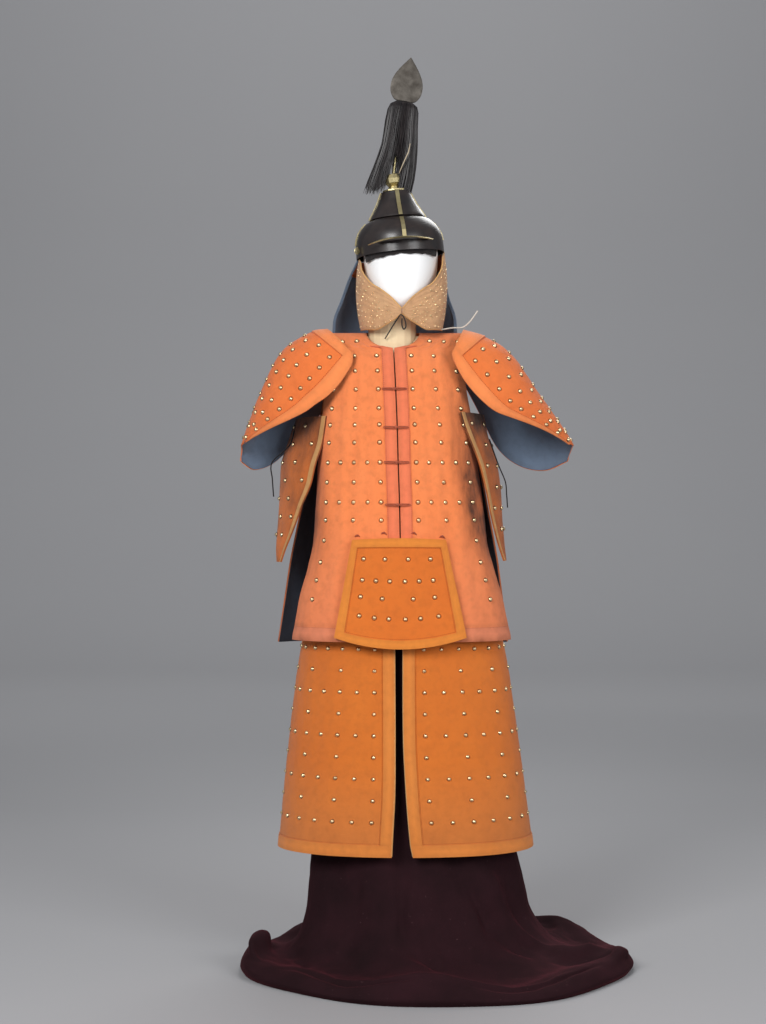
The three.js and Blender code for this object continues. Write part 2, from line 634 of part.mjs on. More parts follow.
// Armpit guards: leaves that hang at the sides, inner edge to the front.
const ARMPIT_WALL = 4;
const ARMPIT_LEFT = [
  { at: 931, ix: -277, iy: -34, ox: -287, oy: -10, out: 2 },
  { at: 962, ix: -266, iy: -48, ox: -289, oy: 5, out: 5 },
  { at: 1008, ix: -246, iy: -60, ox: -287, oy: 24, out: 9 },
  { at: 1061, ix: -227, iy: -70, ox: -284, oy: 38, out: 12 },
  { at: 1115, ix: -205, iy: -78, ox: -282, oy: 48, out: 14 },
  { at: 1161, ix: -194, iy: -80, ox: -280, oy: 55, out: 14 },
  { at: 1203, ix: -180, iy: -71, ox: -268, oy: 60, out: 14 },
  { at: 1240, ix: -174, iy: -73, ox: -255, oy: 62, out: 13 },
  { at: 1270, ix: -170, iy: -74, ox: -244, oy: 60, out: 12 },
];
const ARMPIT_RIGHT = [
  { at: 934, ix: 246, iy: -34, ox: 251, oy: -10, out: 2 },
  { at: 980, ix: 230, iy: -50, ox: 248, oy: 12, out: 5 },
  { at: 1038, ix: 215, iy: -64, ox: 243, oy: 30, out: 8 },
  { at: 1096, ix: 203, iy: -76, ox: 241, oy: 42, out: 10 },
  { at: 1161, ix: 186, iy: -86, ox: 234, oy: 52, out: 12 },
  { at: 1219, ix: 163, iy: -94, ox: 215, oy: 58, out: 12 },
  { at: 1250, ix: 151, iy: -96, ox: 208, oy: 60, out: 12 },
  { at: 1278, ix: 143, iy: -100, ox: 203, oy: 58, out: 10 },
];
const ARMPIT_ACROSS = [0, 0.07, 0.3, 0.53, 0.76, 1];

const armpitGrids = {};
for (const [hand, word, table] of [[-1, 'left', ARMPIT_LEFT], [1, 'right', ARMPIT_RIGHT]]) {
  const grid = table.map((row) => {
    const points = ARMPIT_ACROSS.map((u) => {
      const bulge = row.out * 4 * u * (1 - u);
      const x = mix(row.ix, row.ox, u) + hand * bulge;
      return V(x, mix(row.iy, row.oy, u) - bulge * 0.3, row.at);
    });
    return hand > 0 ? points : points.reverse();
  });
  armpitGrids[word] = grid;
  const last = ARMPIT_ACROSS.length - 2;
  const innerCell = (i) => i === (hand > 0 ? 0 : last);
  const studs = [];
  for (let j = 1; j < table.length - 1; j += 1) {
    for (let i = 1 + (j % 2); i <= last; i += 2) studs.push([i + 0.5, j + 0.5]);
  }
  const us = ARMPIT_ACROSS.map((u, k) => (hand > 0 ? k : last + 1 - k));
  cloth(`armpit_guard_${word}`, 'armpit', grid, -ARMPIT_WALL, 0, {
    us, vs: table.map((row, k) => k), studs,
  });
  cloth(`armpit_guard_${word}_piping`, 'piping', grid, GAP, GAP + 2, {
    cells: (j, i) => innerCell(i),
  });
}

// Black ties that start on the guards' outer faces and hang free.
const TIE_RADIUS = 1.6;
function beside(word, j, i) {
  const grid = armpitGrids[word];
  const p = grid[j][i].clone().addScaledVector(gridNormals(grid, false)[j][i], TIE_RADIUS + 0.75);
  return [p.x, p.y, p.z];
}
cord('tie_cord_left', 'cord', TIE_RADIUS, [
  beside('left', 7, 1), beside('left', 6, 1), [-301, 46, 1165], [-300, 44, 1125], [-297, 42, 1084],
], 8);
cord('tie_cord_right', 'cord', TIE_RADIUS, [
  beside('right', 5, 4), beside('right', 4, 4), [251, 22, 1120], [254, 18, 1090], [256, 14, 1058],
], 8);

// The helmet and what it carries lean together.
const RIM_SLOPE = 0.082; // the helmet's lean to the side
const HELMET = new THREE.Matrix4().makeTranslation(0, 0, 1687)
  .multiply(new THREE.Matrix4().makeRotationY(-RIM_SLOPE))
  .multiply(new THREE.Matrix4().makeRotationZ(0.1));
const DEEPER = new THREE.Matrix4().makeScale(1, 1.1, 1);
const helmetOval = HELMET.clone().multiply(DEEPER);
const LOWER_BOWL = [
  [103.5, -38], [102.5, -8], [99.5, 8], [94, 20], [85, 32], [75, 41], [62, 47],
];
const UPPER_BOWL = [
  [66, 48.4], [63.5, 54], [56, 66], [48, 80], [41, 94], [36, 106], [33, 112],
  [20, 113.4],
];
const BOWL_WALL = 3;
const BOWL_COUNT = 16;

function bowl(name, profile) {
  const grid = profile.map(([r, h]) => oval(0, 0, h, r, r * 1.1, BOWL_COUNT)
    .map((p) => p.applyMatrix4(HELMET)));
  cloth(name, 'lacquer', grid, -BOWL_WALL, 0, { round: true });
}
bowl('helmet_lower', LOWER_BOWL);
bowl('helmet_upper', UPPER_BOWL);

// ribs of brass over both tiers, at the front, the back and the sides
const RIB_HALF = 4.5;
const RIB_TIERS = [
  ['lower', LOWER_BOWL.slice(1, 6)], ['upper', UPPER_BOWL.slice(0, 7)],
];
const RIB_TURNS = [
  ['front', -0.5], ['right', 0], ['back', 0.5], ['left', 1],
];
for (const [tier, profile] of RIB_TIERS) {
  for (const [word, turn] of RIB_TURNS) {
    const a = turn * Math.PI;
    const grid = profile.map(([r, h]) => [-1, 1].map((k) => {
      const reach = 0.7 + r;
      const [c, s] = [Math.cos(a), Math.sin(a)];
      const p = V(reach * c - k * RIB_HALF * s, reach * s * 1.1 + k * RIB_HALF * c, h);
      return p.applyMatrix4(HELMET);
    }));
    cloth(`rib_${tier}_${word}`, 'brass', grid, 0, 2, {});
  }
}

// the visor: a thin crescent above the face with a brass strip round its front
const VISOR_Z = -10;
const VISOR_STEPS = 9;
const VISOR_SPREAD = 0.62; // radians each side
const visorTop = [];
for (let k = 0; k <= VISOR_STEPS; k += 1) {
  const a = -Math.PI / 2 + VISOR_SPREAD * ((2 * k) / VISOR_STEPS - 1);
  const share = Math.cos(((2 * k) / VISOR_STEPS - 1) * Math.PI * 0.46);
  const near = V(104 * Math.cos(a), 104 * 1.1 * Math.sin(a), VISOR_Z);
  const far = V((106 + 20 * share) * Math.cos(a), (106 + 20 * share) * 1.1 * Math.sin(a), VISOR_Z - 5);
  visorTop.push([near, far]);
}
const visorRows = [1, 0].map((n) => visorTop.map((pair) => pair[n].clone().applyMatrix4(HELMET)));
cloth('visor', 'lacquer', visorRows, -2.5, 0, {});
const rimRows = [-5, 2].map((h) => visorTop.map(([, far]) => {
  const out = V(far.x, far.y, 0).normalize().multiplyScalar(0.5);
  return V(far.x + out.x, far.y + out.y, far.z + h).applyMatrix4(HELMET);
}));
cloth('visor_rim', 'brass', rimRows, 0, 2, {});

const onTop = HELMET;
turned('knop', 'brass', [
  [29, 113.7], [29, 117], [16, 119.5], [14, 125], [22, 133], [24, 143], [20, 152], [12, 155],
], 14, onTop);

// the plume tube leans to the right of the helmet's own axis
const PLUME = HELMET.clone()
  .multiply(new THREE.Matrix4().makeTranslation(0, 0, 155.4))
  .multiply(new THREE.Matrix4().makeRotationY(0.2));
turned('plume_tube', 'brass', [[4.5, 0.9], [4.5, 178]], 10, PLUME);

// the plume: locks of horsehair, fused at their roots into a round head
const HEAD_LOW = 166;
const HEAD_PROFILE = [
  [5, HEAD_LOW], [34, HEAD_LOW], [37, HEAD_LOW + 4], [34, HEAD_LOW + 9], [5, HEAD_LOW + 11],
];
const LOCKS = 16;
function lock(turn, radius, thick, length, flare) {
  const rows = [0, 0.35, 0.7, 1].map((t) => {
    const out = radius + flare * t * t;
    const z = HEAD_LOW + 3 - (length + 3) * t;
    const half = thick * (1 - 0.72 * t * t);
    const ring = [];
    for (let k = 0; k < 3; k += 1) {
      const a = turn + (2 * Math.PI * k) / 3;
      ring.push(V(out * Math.cos(turn) + half * Math.cos(a), out * Math.sin(turn) + half * Math.sin(a), z));
    }
    return ring;
  });
  return ringGeometry(rows.reverse());
}
let plume = toSolid(ringGeometry(HEAD_PROFILE.map(([r, h]) => oval(0, 0, h, r, r, 16)), true));
for (let k = 0; k < LOCKS; k += 1) {
  const turn = (2 * Math.PI * (k + 0.5)) / LOCKS;
  const outer = k % 2 === 0;
  const beside = outer && Math.abs(Math.cos(turn)) > 0.45;
  const length = (beside ? 208 : 142) + 12 * Math.sin(3 * turn) + 12 * Math.cos(turn);
  const flare = beside ? 33 + 4 * Math.cos(turn) : 7;
  plume = plume.add(toSolid(lock(turn, outer ? 29 : 17, outer ? 3.2 : 2.6, length, flare)));
}
const plumeGeometry = fromSolid(plume);
plumeGeometry.applyMatrix4(PLUME);
addMesh('plume', 'horsehair', plumeGeometry);

// the spearhead: a flat leaf with a ridge on each face
const LEAF = [
  { z: 178.4, half: 6, deep: 5 }, { z: 187, half: 9, deep: 5 }, { z: 195, half: 26, deep: 4 },
  { z: 208, half: 38, deep: 4 }, { z: 226, half: 36, deep: 4 }, { z: 248, half: 20, deep: 3 },
  { z: 268, half: 5, deep: 1.5 }, { z: 277, half: 1, deep: 0.8 },
];
const leafRings = LEAF.map(({ z, half, deep }) => [
  V(half, 0, z), V(half * 0.45, deep * 0.7, z), V(0, deep, z), V(-half * 0.45, deep * 0.7, z),
  V(-half, 0, z), V(-half * 0.45, -deep * 0.7, z), V(0, -deep, z), V(half * 0.45, -deep * 0.7, z),
]);
const leaf = ringGeometry(leafRings);
leaf.applyMatrix4(PLUME);
addMesh('spearhead', 'steel', leaf);

// Cheek guards: each column runs from its lower edge to its upper edge.
const CHEEK_WALL = 3;
const CHEEK = [
  { y: 6, lx: 96, lz: 1474, ux: 101, uz: 1648.4, out: 9 },
  { y: -38, lx: 90, lz: 1472, ux: 97, uz: 1637, out: 8 },
  { y: -62, lx: 77, lz: 1471, ux: 93, uz: 1609, out: 3 },
  { y: -80, lx: 57, lz: 1470, ux: 73, uz: 1578, out: 0 },
  { y: -92, lx: 37, lz: 1480, ux: 50, uz: 1562, out: 0 },
  { y: -100, lx: 17, lz: 1492, ux: 24, uz: 1541, out: 0 },
  { y: -104, lx: 1.2, lz: 1504, ux: 1.2, uz: 1516, out: 0 },
];
const CHEEK_RISE = [0, 0.35, 0.68, 1];
const CHEEK_MIDDLE = 6;
for (const [hand, word] of [[-1, 'left'], [1, 'right']]) {
  const grid = CHEEK_RISE.map((v) => {
    const row = CHEEK.map((c) => {
      const x = CHEEK_MIDDLE + hand * (mix(c.lx, c.ux, v) + c.out * 4 * v * (1 - v));
      return V(x, c.y, mix(c.lz, c.uz, v) + RIM_SLOPE * x * v * (c.out / 9));
    });
    return hand > 0 ? row.reverse() : row;
  });
  cloth(`cheek_guard_${word}`, 'cheek', grid, -CHEEK_WALL, 0, {});
}

// The neck guard hangs from inside the helmet's rim and spreads over the shoulders.
const NECK_WALL = 4;
const NECK_GUARD = [
  { at: 1468, cx: -10, a: 148, b: 125 },
  { at: 1507, cx: -10, a: 145, b: 122 },
  { at: 1550, cx: -10, a: 129, b: 118 },
  { at: 1610, cx: -5, a: 113, b: 113 },
  { at: 1647, cx: 3, a: 103, b: 113 },
];
const NECK_LOW = 1468.9;
const NECK_HIGH = 1648;
const NECK_START = 0.14;
const NECK_STEPS = 10;
const neckGrid = [NECK_LOW, 1507, 1555, 1612, NECK_HIGH].map((z) => {
  const row = [];
  for (let k = 0; k <= NECK_STEPS; k += 1) {
    const t = mix(NECK_START, Math.PI - NECK_START, k / NECK_STEPS);
    const x = along(NECK_GUARD, z, 'cx') + along(NECK_GUARD, z, 'a') * Math.cos(t);
    const lift = (RIM_SLOPE * x * (z - NECK_LOW)) / (NECK_HIGH - NECK_LOW);
    row.push(V(x, along(NECK_GUARD, z, 'b') * Math.sin(t), z + lift));
  }
  return row;
});
cloth('neck_guard', 'guard', neckGrid, -NECK_WALL, 0, {});
const neckInside = -NECK_WALL - LINING_GAP;
cloth('neck_guard_lining', 'lining', neckGrid, neckInside - LINING_WALL, neckInside, {
  cells: (j) => j < 3,
});
cord('neck_guard_piping', 'piping', 3, neckGrid[0].map((p) => [p.x * 0.985, p.y * 0.985, p.z - 3.3]), 5, 14);

// Ties: a dark cord at the chin and a white one at the right shoulder.
cord('chin_tie', 'cord', 1.5, [
  [-33, -65, 1449], [-22, -78, 1466], [-6, -97.6, 1490], [4, -106.6, 1501], [12, -109.4, 1490],
  [15, -111, 1474], [10, -112, 1467], [6, -112, 1476], [6, -111, 1492],
], 8, 18);
cord('white_tie', 'piping', 1.8, [
  [98.2, -34, 1473], [125, -14, 1479], [150, 0, 1482], [168, 4, 1497], [185, 6, 1521],
], 8, 9);

// The form: a padded torso with a hole for its neck, the neck and a blank head.
const TORSO = [
  { z: 868, a: 132, b: 88 }, { z: 882, a: 143, b: 96 }, { z: 930, a: 155, b: 105 },
  { z: 985, a: 150, b: 102 }, { z: 1060, a: 128, b: 90 }, { z: 1130, a: 134, b: 93 },
  { z: 1220, a: 151, b: 98 }, { z: 1300, a: 159, b: 92 }, { z: 1360, a: 161, b: 82 },
  { z: 1400, a: 161, b: 68 }, { z: 1430, a: 159, b: 46 }, { z: 1448, a: 156, b: 30 },
  { z: 1459, a: 152, b: 17 },
];
const NECK = { x: -16, y: -12, a: 56, b: 49, low: 1404, high: 1508 };
const torsoRings = TORSO.map(({ z, a, b }) => oval(along(COAT, z, 'lean'), -3, z, a, b, 14, 2.3));
const neckHole = [NECK.low - GAP, SHOULDER + 10]
  .map((z) => oval(NECK.x, NECK.y, z, NECK.a + GAP, NECK.b + GAP, 18));
const torso = toSolid(ringGeometry(torsoRings)).subtract(toSolid(ringGeometry(neckHole)));
addMesh('form_torso', 'form', fromSolid(torso));
addMesh('form_neck', 'form', ringGeometry(
  [NECK.low, NECK.high].map((z) => oval(NECK.x, NECK.y, z, NECK.a, NECK.b, 18)),
));
const HEAD = [
  { z: 1508.4, y: -12, a: 34, b: 36 }, { z: 1516, y: -15, a: 50, b: 56 },
  { z: 1540, y: -14, a: 67, b: 76 }, { z: 1580, y: -8, a: 79, b: 89 },
  { z: 1624, y: -2, a: 86, b: 97 }, { z: 1665, y: 0, a: 86, b: 98 },
  { z: 1698, y: 1, a: 74, b: 84 }, { z: 1717, y: 2, a: 50, b: 57 },
  { z: 1725, y: 2, a: 22, b: 26 },
];
addMesh('form_head', 'head', ringGeometry(HEAD.map(({ z, y, a, b }) => oval(4, y, z, a, b, 14))));

// The stand under the form.
const still = new THREE.Matrix4();
turned('stand_base', 'stand', [[150, 0], [150, 8], [142, 12]], 28, still);
turned('stand_pole', 'stand', [[17, 12.3], [17, 867.7]], 12, still);

// The velvet cover: a wall down from the hips, heaped on the floor in a wide pool.
// "fold" is how deep its folds are and "lump" how uneven the pool's height is.
const VELVET_COUNT = 30;
const VELVET_WALL = 3;
const VELVET_OUTER = [
  { z: 0, cx: 85, cy: -75, a: 440, b: 396, fold: 9, lump: 0 },
  { z: 15, cx: 85, cy: -75, a: 448, b: 404, fold: 9, lump: 4 },
  { z: 38, cx: 84, cy: -74, a: 430, b: 386, fold: 8, lump: 14 },
  { z: 44, cx: 82, cy: -72, a: 405, b: 362, fold: 7, lump: 18 },
  { z: 34, cx: 76, cy: -60, a: 366, b: 324, fold: 6, lump: 12 },
  { z: 40, cx: 68, cy: -46, a: 328, b: 288, fold: 8, lump: 10 },
  { z: 66, cx: 55, cy: -28, a: 288, b: 252, fold: 10, lump: 6 },
  { z: 124, cx: 44, cy: -14, a: 257, b: 214, fold: 11, lump: 0 },
  { z: 200, cx: 38, cy: -6, a: 245, b: 184, fold: 9, lump: 0 },
  { z: 262, cx: 34, cy: 0, a: 236, b: 166, fold: 6, lump: 0 },
  { z: 400, cx: 20, cy: 0, a: 211, b: 148, fold: 5, lump: 0 },
  { z: 600, cx: 10, cy: 0, a: 184, b: 130, fold: 4, lump: 0 },
  { z: 900, cx: 3, cy: 0, a: 161, b: 111, fold: 1, lump: 0 },
];
const VELVET_INNER = [
  { z: 900, from: 12, low: 0 }, { z: 600, from: 11, low: 0 }, { z: 400, from: 10, low: 0 },
  { z: 262, from: 9, low: 0 }, { z: 110, from: 9, low: 1 }, { z: 0, from: 9, low: 2 },
];

function velvetRing(row, z, grow) {
  const ring = [];
  for (let k = 0; k < VELVET_COUNT; k += 1) {
    const t = (2 * Math.PI * k) / VELVET_COUNT;
    const wave = 0.6 * Math.cos(7 * t + 0.9) + 0.4 * Math.cos(4 * t - 1.1);
    const heap = 0.6 * Math.cos(5 * t + 2.2) + 0.4 * Math.cos(8 * t + 0.4);
    const out = row.fold * wave + grow;
    const x = row.cx + (row.a + out) * Math.cos(t);
    ring.push(V(x, row.cy + (row.b + out) * Math.sin(t), z + row.lump * heap));
  }
  return ring;
}
const velvetRings = [
  ...VELVET_OUTER.map((row) => velvetRing(row, row.z, 0)),
  ...VELVET_INNER.map(({ z, from }) => velvetRing({ ...VELVET_OUTER[from], lump: 0 }, z, -VELVET_WALL)),
];
addMesh('velvet_cover', 'velvet', ringGeometry(velvetRings, true));

export default root;
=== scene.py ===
import math
from functools import lru_cache

import bmesh
import bpy
from mathutils import Matrix, Vector, noise


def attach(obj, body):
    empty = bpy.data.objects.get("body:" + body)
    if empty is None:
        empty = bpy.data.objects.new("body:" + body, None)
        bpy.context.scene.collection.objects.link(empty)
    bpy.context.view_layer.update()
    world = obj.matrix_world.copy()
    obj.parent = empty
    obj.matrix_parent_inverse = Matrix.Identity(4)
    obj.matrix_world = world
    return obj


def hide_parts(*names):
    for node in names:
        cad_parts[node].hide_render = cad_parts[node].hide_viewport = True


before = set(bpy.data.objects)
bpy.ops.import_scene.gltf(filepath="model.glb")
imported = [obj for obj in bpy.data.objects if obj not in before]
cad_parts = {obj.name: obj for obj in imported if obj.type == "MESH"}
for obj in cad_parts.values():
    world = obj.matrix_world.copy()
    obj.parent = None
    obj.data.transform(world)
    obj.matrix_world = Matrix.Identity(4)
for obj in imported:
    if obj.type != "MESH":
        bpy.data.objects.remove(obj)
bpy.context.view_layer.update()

MM = 0.001


def mix(a, b, t):
    return a + (b - a) * t


def ramp(t, start, end):
    """0 before start, 1 after end, and smooth between them."""
    t = min(max((t - start) / (end - start), 0.0), 1.0)
    return t * t * (3 - 2 * t)


def bump(t, centre, half):
    """A soft hump, 1 at its centre and 0 beyond half to each side."""
    t = abs(t - centre) / half
    return (1 - t * t) ** 2 if t < 1 else 0.0


def wander(x, y, z=0.0):
    """Smooth noise from -1 to 1."""
    return noise.noise(Vector((x, y, z)))


TABLES = {}


@lru_cache(maxsize=None)
def along(table, at, column):
    """A smooth value between the rows of a named table, sorted by "at"."""
    rows = TABLES[table]
    last = len(rows) - 1
    if at <= rows[0]["at"]:
        return rows[0][column]
    if at >= rows[last]["at"]:
        return rows[last][column]
    k = 0
    while at > rows[k + 1]["at"]:
        k += 1

    def slope(n):
        low, high = max(n - 1, 0), min(n + 1, last)
        return (rows[high][column] - rows[low][column]) / (rows[high]["at"] - rows[low]["at"])

    span = rows[k + 1]["at"] - rows[k]["at"]
    t = (at - rows[k]["at"]) / span
    t2, t3 = t * t, t * t * t
    return ((2 * t3 - 3 * t2 + 1) * rows[k][column] + (t3 - 2 * t2 + t) * span * slope(k)
            + (3 * t2 - 2 * t3) * rows[k + 1][column] + (t3 - t2) * span * slope(k + 1))


def table(name, columns, *rows):
    TABLES[name] = [dict(zip(columns.split(), row)) for row in rows]


# The camera, level and 4.67 m in front of the stand

CAMERA_AT = (-0.0376, -4.67, 1.0476)
LENS, FILM, FARTHEST = 69.86, 36, 60


def camera():
    data = bpy.data.cameras.new("camera")
    data.lens = LENS
    data.sensor_width = FILM
    data.clip_end = FARTHEST
    seen = bpy.data.objects.new("camera", data)
    seen.location = CAMERA_AT
    seen.rotation_euler = (math.radians(90), 0, 0)
    bpy.context.collection.objects.link(seen)
    bpy.context.scene.camera = seen
    bpy.context.scene.view_settings.view_transform = "Standard"


camera()


# Materials

def tint(red, green, blue):
    """A colour seen on a screen, 0 to 255, as the shader's own."""
    def linear(c):
        c /= 255
        return c / 12.92 if c < 0.04045 else ((c + 0.055) / 1.055) ** 2.4
    return (linear(red), linear(green), linear(blue), 1)


class Finish:
    """A material under way. Nodes are added by kind, with sockets by name."""

    def __init__(self, name, **constants):
        self.material = bpy.data.materials.new(name)
        self.material.use_nodes = True
        self.tree = self.material.node_tree
        self.shader = self.tree.nodes["Principled BSDF"]
        for key, value in constants.items():
            self.shader.inputs[key.replace("_", " ")].default_value = value
        self.where = self.tree.nodes.new("ShaderNodeTexCoord")

    def add(self, kind, result, settings=None, **sockets):
        node = self.tree.nodes.new("ShaderNode" + kind)
        for key, value in (settings or {}).items():
            setattr(node, key, value)
        for key, value in sockets.items():
            self.feed(node.inputs[int(key[1:])] if key[0] == "i" and key[1:].isdigit()
                      else node.inputs[key.replace("_", " ")], value)
        return node.outputs[result]

    def feed(self, socket, value):
        if isinstance(value, bpy.types.NodeSocket):
            self.tree.links.new(value, socket)
        else:
            socket.default_value = value

    def stretched(self, kind, scale):
        return self.add("Mapping", "Vector", Vector=self.where.outputs[kind], Scale=scale)

    def noise(self, vector, scale, detail=3.0, roughness=0.5):
        return self.add("TexNoise", "Fac", Vector=vector, Scale=scale, Detail=detail,
                        Roughness=roughness)

    def between(self, value, low, high, from_low=0.3, from_high=0.7):
        return self.add("MapRange", "Result", i0=value, i1=from_low, i2=from_high,
                        i3=low, i4=high)

    def blend(self, share, one, other):
        return self.add("Mix", 2, {"data_type": "RGBA"}, i0=share, i6=one, i7=other)

    def times(self, one, other, operation="MULTIPLY"):
        return self.add("Math", "Value", {"operation": operation}, i0=one, i1=other)

    def done(self, colour=None, height=None, depth=0.0005, roughness=None):
        if colour is not None:
            self.feed(self.shader.inputs["Base Color"], colour)
        if roughness is not None:
            self.feed(self.shader.inputs["Roughness"], roughness)
        if height is not None:
            normal = self.add("Bump", "Normal", Height=height, Distance=depth, Strength=1.0)
            self.feed(self.shader.inputs["Normal"], normal)
        return self.material


# Painted shade beside the armpit guards and on their tops, mixed with soot
SOOT_AND_SHADE = tint(50, 32, 26)


def woven(name, colour, shade, dirt_and_shade_colour, pitch=1.3, blotch=(0.25, 0.75), sheen=0.15, crease=0.5,
          tones=()):
    """Cloth: a weave on the piece's own UV map, cloudy dye, dirt where it is worn, and painted shade
    where the wear and soot attributes carry it.

    Each tone fades in below a height, from the second number down to the first.
    """
    f = Finish(name, Roughness=0.82, Sheen_Weight=sheen, Specular_IOR_Level=0.25)
    colour, shade, dirt = tint(*colour), tint(*shade), tint(*dirt_and_shade_colour)
    uv = f.where.outputs["UV"]
    band = 2 * math.pi / (20 * pitch * MM)
    warp, weft = (f.add("TexWave", "Fac", {"bands_direction": way}, Vector=uv, Scale=band,
                        Distortion=0.4, Detail=1.0) for way in "XY")
    threads = f.times(warp, weft)
    slub = f.noise(f.stretched("UV", (40, 700, 1)), 1.0, 2.0)
    cloud = f.noise(f.stretched("Object", (1, 1, 0.6)), 9.0, 6.0, 0.6)
    fine = f.noise(f.where.outputs["Object"], 60.0, 3.0)
    rumple = f.noise(f.where.outputs["Object"], 24.0, 4.0, 0.55)
    dyed = f.blend(f.between(cloud, *blotch), colour, shade)
    dyed = f.blend(f.between(slub, 0.0, 0.22), dyed, shade)
    up = f.add("SeparateXYZ", "Z", Vector=f.where.outputs["Object"])
    for low, high, tone in tones:
        dyed = f.blend(f.between(up, 0.85, 0.0, low, high), dyed, tint(*tone))
    # The wear attribute carries dirt and wear, and painted shade at the armpit guards' tops, in the
    # dirt colour
    worn_and_shaded = f.add("Attribute", "Fac", {"attribute_name": "wear"})
    patchy = f.between(f.noise(f.stretched("Object", (1.6, 1.6, 0.5)), 22.0, 5.0, 0.65), 0.35, 1.0)
    dirty_and_shaded = f.times(worn_and_shaded, patchy)
    dyed = f.blend(dirty_and_shaded, dyed, dirt)
    dyed = f.blend(f.between(fine, 0.0, 0.17, 0.45, 0.75), dyed, dirt)
    # The soot attribute: painted shade beside and on the armpit guards, with soot
    sooty = f.add("Attribute", "Fac", {"attribute_name": "soot"})
    dyed = f.blend(f.times(sooty, patchy), dyed, SOOT_AND_SHADE)
    height = f.times(f.times(threads, 0.35), f.times(rumple, crease * 4), "ADD")
    return f.done(dyed, height, 0.0012)


def metal(name, colour, tarnish_and_shade, roughness, pit=0.25):
    f = Finish(name, Metallic=1.0)
    cloud = f.noise(f.where.outputs["Object"], 45.0, 5.0, 0.6)
    # The wear attribute darkens each stud's foot: painted shade and dirt, in the tarnish colour
    worn_and_shaded = f.add("Attribute", "Fac", {"attribute_name": "wear"})
    dulled_and_shaded = f.times(f.between(cloud, 0.0, 0.6, 0.45, 0.75), worn_and_shaded, "MAXIMUM")
    rough = f.between(cloud, roughness, roughness + 0.25)
    height = f.noise(f.where.outputs["Object"], 260.0, 3.0)
    colour = f.blend(dulled_and_shaded, tint(*colour), tint(*tarnish_and_shade))
    return f.done(colour, f.times(height, pit), 0.0006, rough)


def lacquered():
    f = Finish("lacquer", Coat_Weight=0.3, Coat_Roughness=0.22)
    cloud = f.noise(f.where.outputs["Object"], 30.0, 5.0, 0.6)
    scuff = f.noise(f.stretched("Object", (1, 1, 4)), 90.0, 4.0, 0.7)
    colour = f.blend(f.between(cloud, 0.0, 0.8), tint(22, 19, 20), tint(48, 36, 32))
    colour = f.blend(f.between(scuff, 0.0, 0.5, 0.62, 0.8), colour, tint(96, 78, 60))
    rough = f.between(cloud, 0.32, 0.52)
    return f.done(colour, f.times(scuff, 0.3), 0.0006, rough)


def haired():
    f = Finish("horsehair", Roughness=0.42, Specular_IOR_Level=0.4)
    cloud = f.noise(f.stretched("Object", (6, 6, 1)), 24.0, 3.0)
    return f.done(f.blend(f.between(cloud, 0.0, 1.0), tint(22, 20, 22), tint(52, 46, 46)))


def plush():
    f = Finish("velvet", Roughness=0.95, Sheen_Weight=0.3, Sheen_Roughness=0.35,
               Specular_IOR_Level=0.1)
    f.shader.inputs["Sheen Tint"].default_value = tint(150, 60, 75)
    cloud = f.noise(f.where.outputs["Object"], 7.0, 5.0, 0.6)
    nap = f.noise(f.stretched("Object", (1, 1, 2)), 420.0, 2.0)
    colour = f.blend(f.between(cloud, 0.0, 1.0), tint(30, 16, 19), tint(44, 22, 27))
    lint = f.noise(f.where.outputs["Object"], 160.0, 2.0)
    colour = f.blend(f.between(lint, 0.0, 0.35, 0.72, 0.8), colour, tint(120, 88, 92))
    return f.done(colour, nap, 0.0008)


def smooth_shell(name, colour, shade, roughness, grain):
    f = Finish(name, Roughness=roughness)
    cloud = f.noise(f.where.outputs["Object"], 8.0, 4.0)
    fine = f.noise(f.where.outputs["Object"], grain, 3.0)
    colour = f.blend(f.between(cloud, 0.0, 0.8), tint(*colour), tint(*shade))
    return f.done(colour, fine, 0.0003)


COAT = woven("coat_cloth", (253, 146, 88), (246, 133, 72), (128, 66, 34),
             tones=((0.78, 1.05, (230, 130, 84)), (0.7815, 0.785, (226, 134, 98))))
COAT_PINK = woven("placket_cloth", (246, 134, 92), (238, 120, 80), (160, 76, 44))
GUARD = woven("guard_cloth", (238, 128, 62), (229, 112, 52), (170, 84, 40))
GUARD_EDGE = woven("guard_border_cloth", (252, 150, 88), (246, 136, 72), (180, 104, 60))
# Its dark third colour is also painted shade at the guards' tops
ARMPIT = woven("armpit_cloth", (232, 126, 50), (204, 106, 44), (80, 52, 38))
APRON_CLOTH = woven("apron_cloth", (228, 122, 42), (220, 110, 38), (150, 76, 30))
APRON_EDGE = woven("apron_border_cloth", (240, 148, 58), (228, 130, 48), (170, 92, 38))
SKIRT_CLOTH = woven("skirt_cloth", (226, 124, 42), (212, 110, 38), (150, 80, 34),
                    tones=((0.26, 0.48, (212, 126, 62)),))
SKIRT_EDGE = woven("skirt_border_cloth", (236, 144, 66), (220, 128, 54), (160, 90, 44))
CHEEK_CLOTH = woven("cheek_cloth", (222, 180, 136), (206, 150, 106), (140, 98, 68),
                    crease=1.4)
BLUE = woven("blue_lining", (112, 130, 152), (90, 106, 126), (60, 66, 76))
DARK_BLUE = woven("dark_lining", (58, 66, 80), (40, 46, 58), (24, 24, 28))
BLACK_PAD = woven("brow_cloth", (34, 31, 33), (24, 22, 24), (58, 46, 40))
PIPING = woven("white_braid", (240, 236, 226), (218, 210, 194), (150, 132, 106))
TAN_BINDING = woven("tan_binding", (222, 172, 112), (204, 146, 86), (120, 80, 48))
CREAM_BINDING = woven("cream_binding", (232, 184, 122), (216, 160, 96), (150, 100, 60))
KNOT = woven("knot_braid", (204, 102, 66), (170, 78, 48), (92, 48, 30), pitch=0.9)
CORD = woven("dark_cord", (38, 34, 36), (24, 22, 24), (70, 60, 52), pitch=0.9)
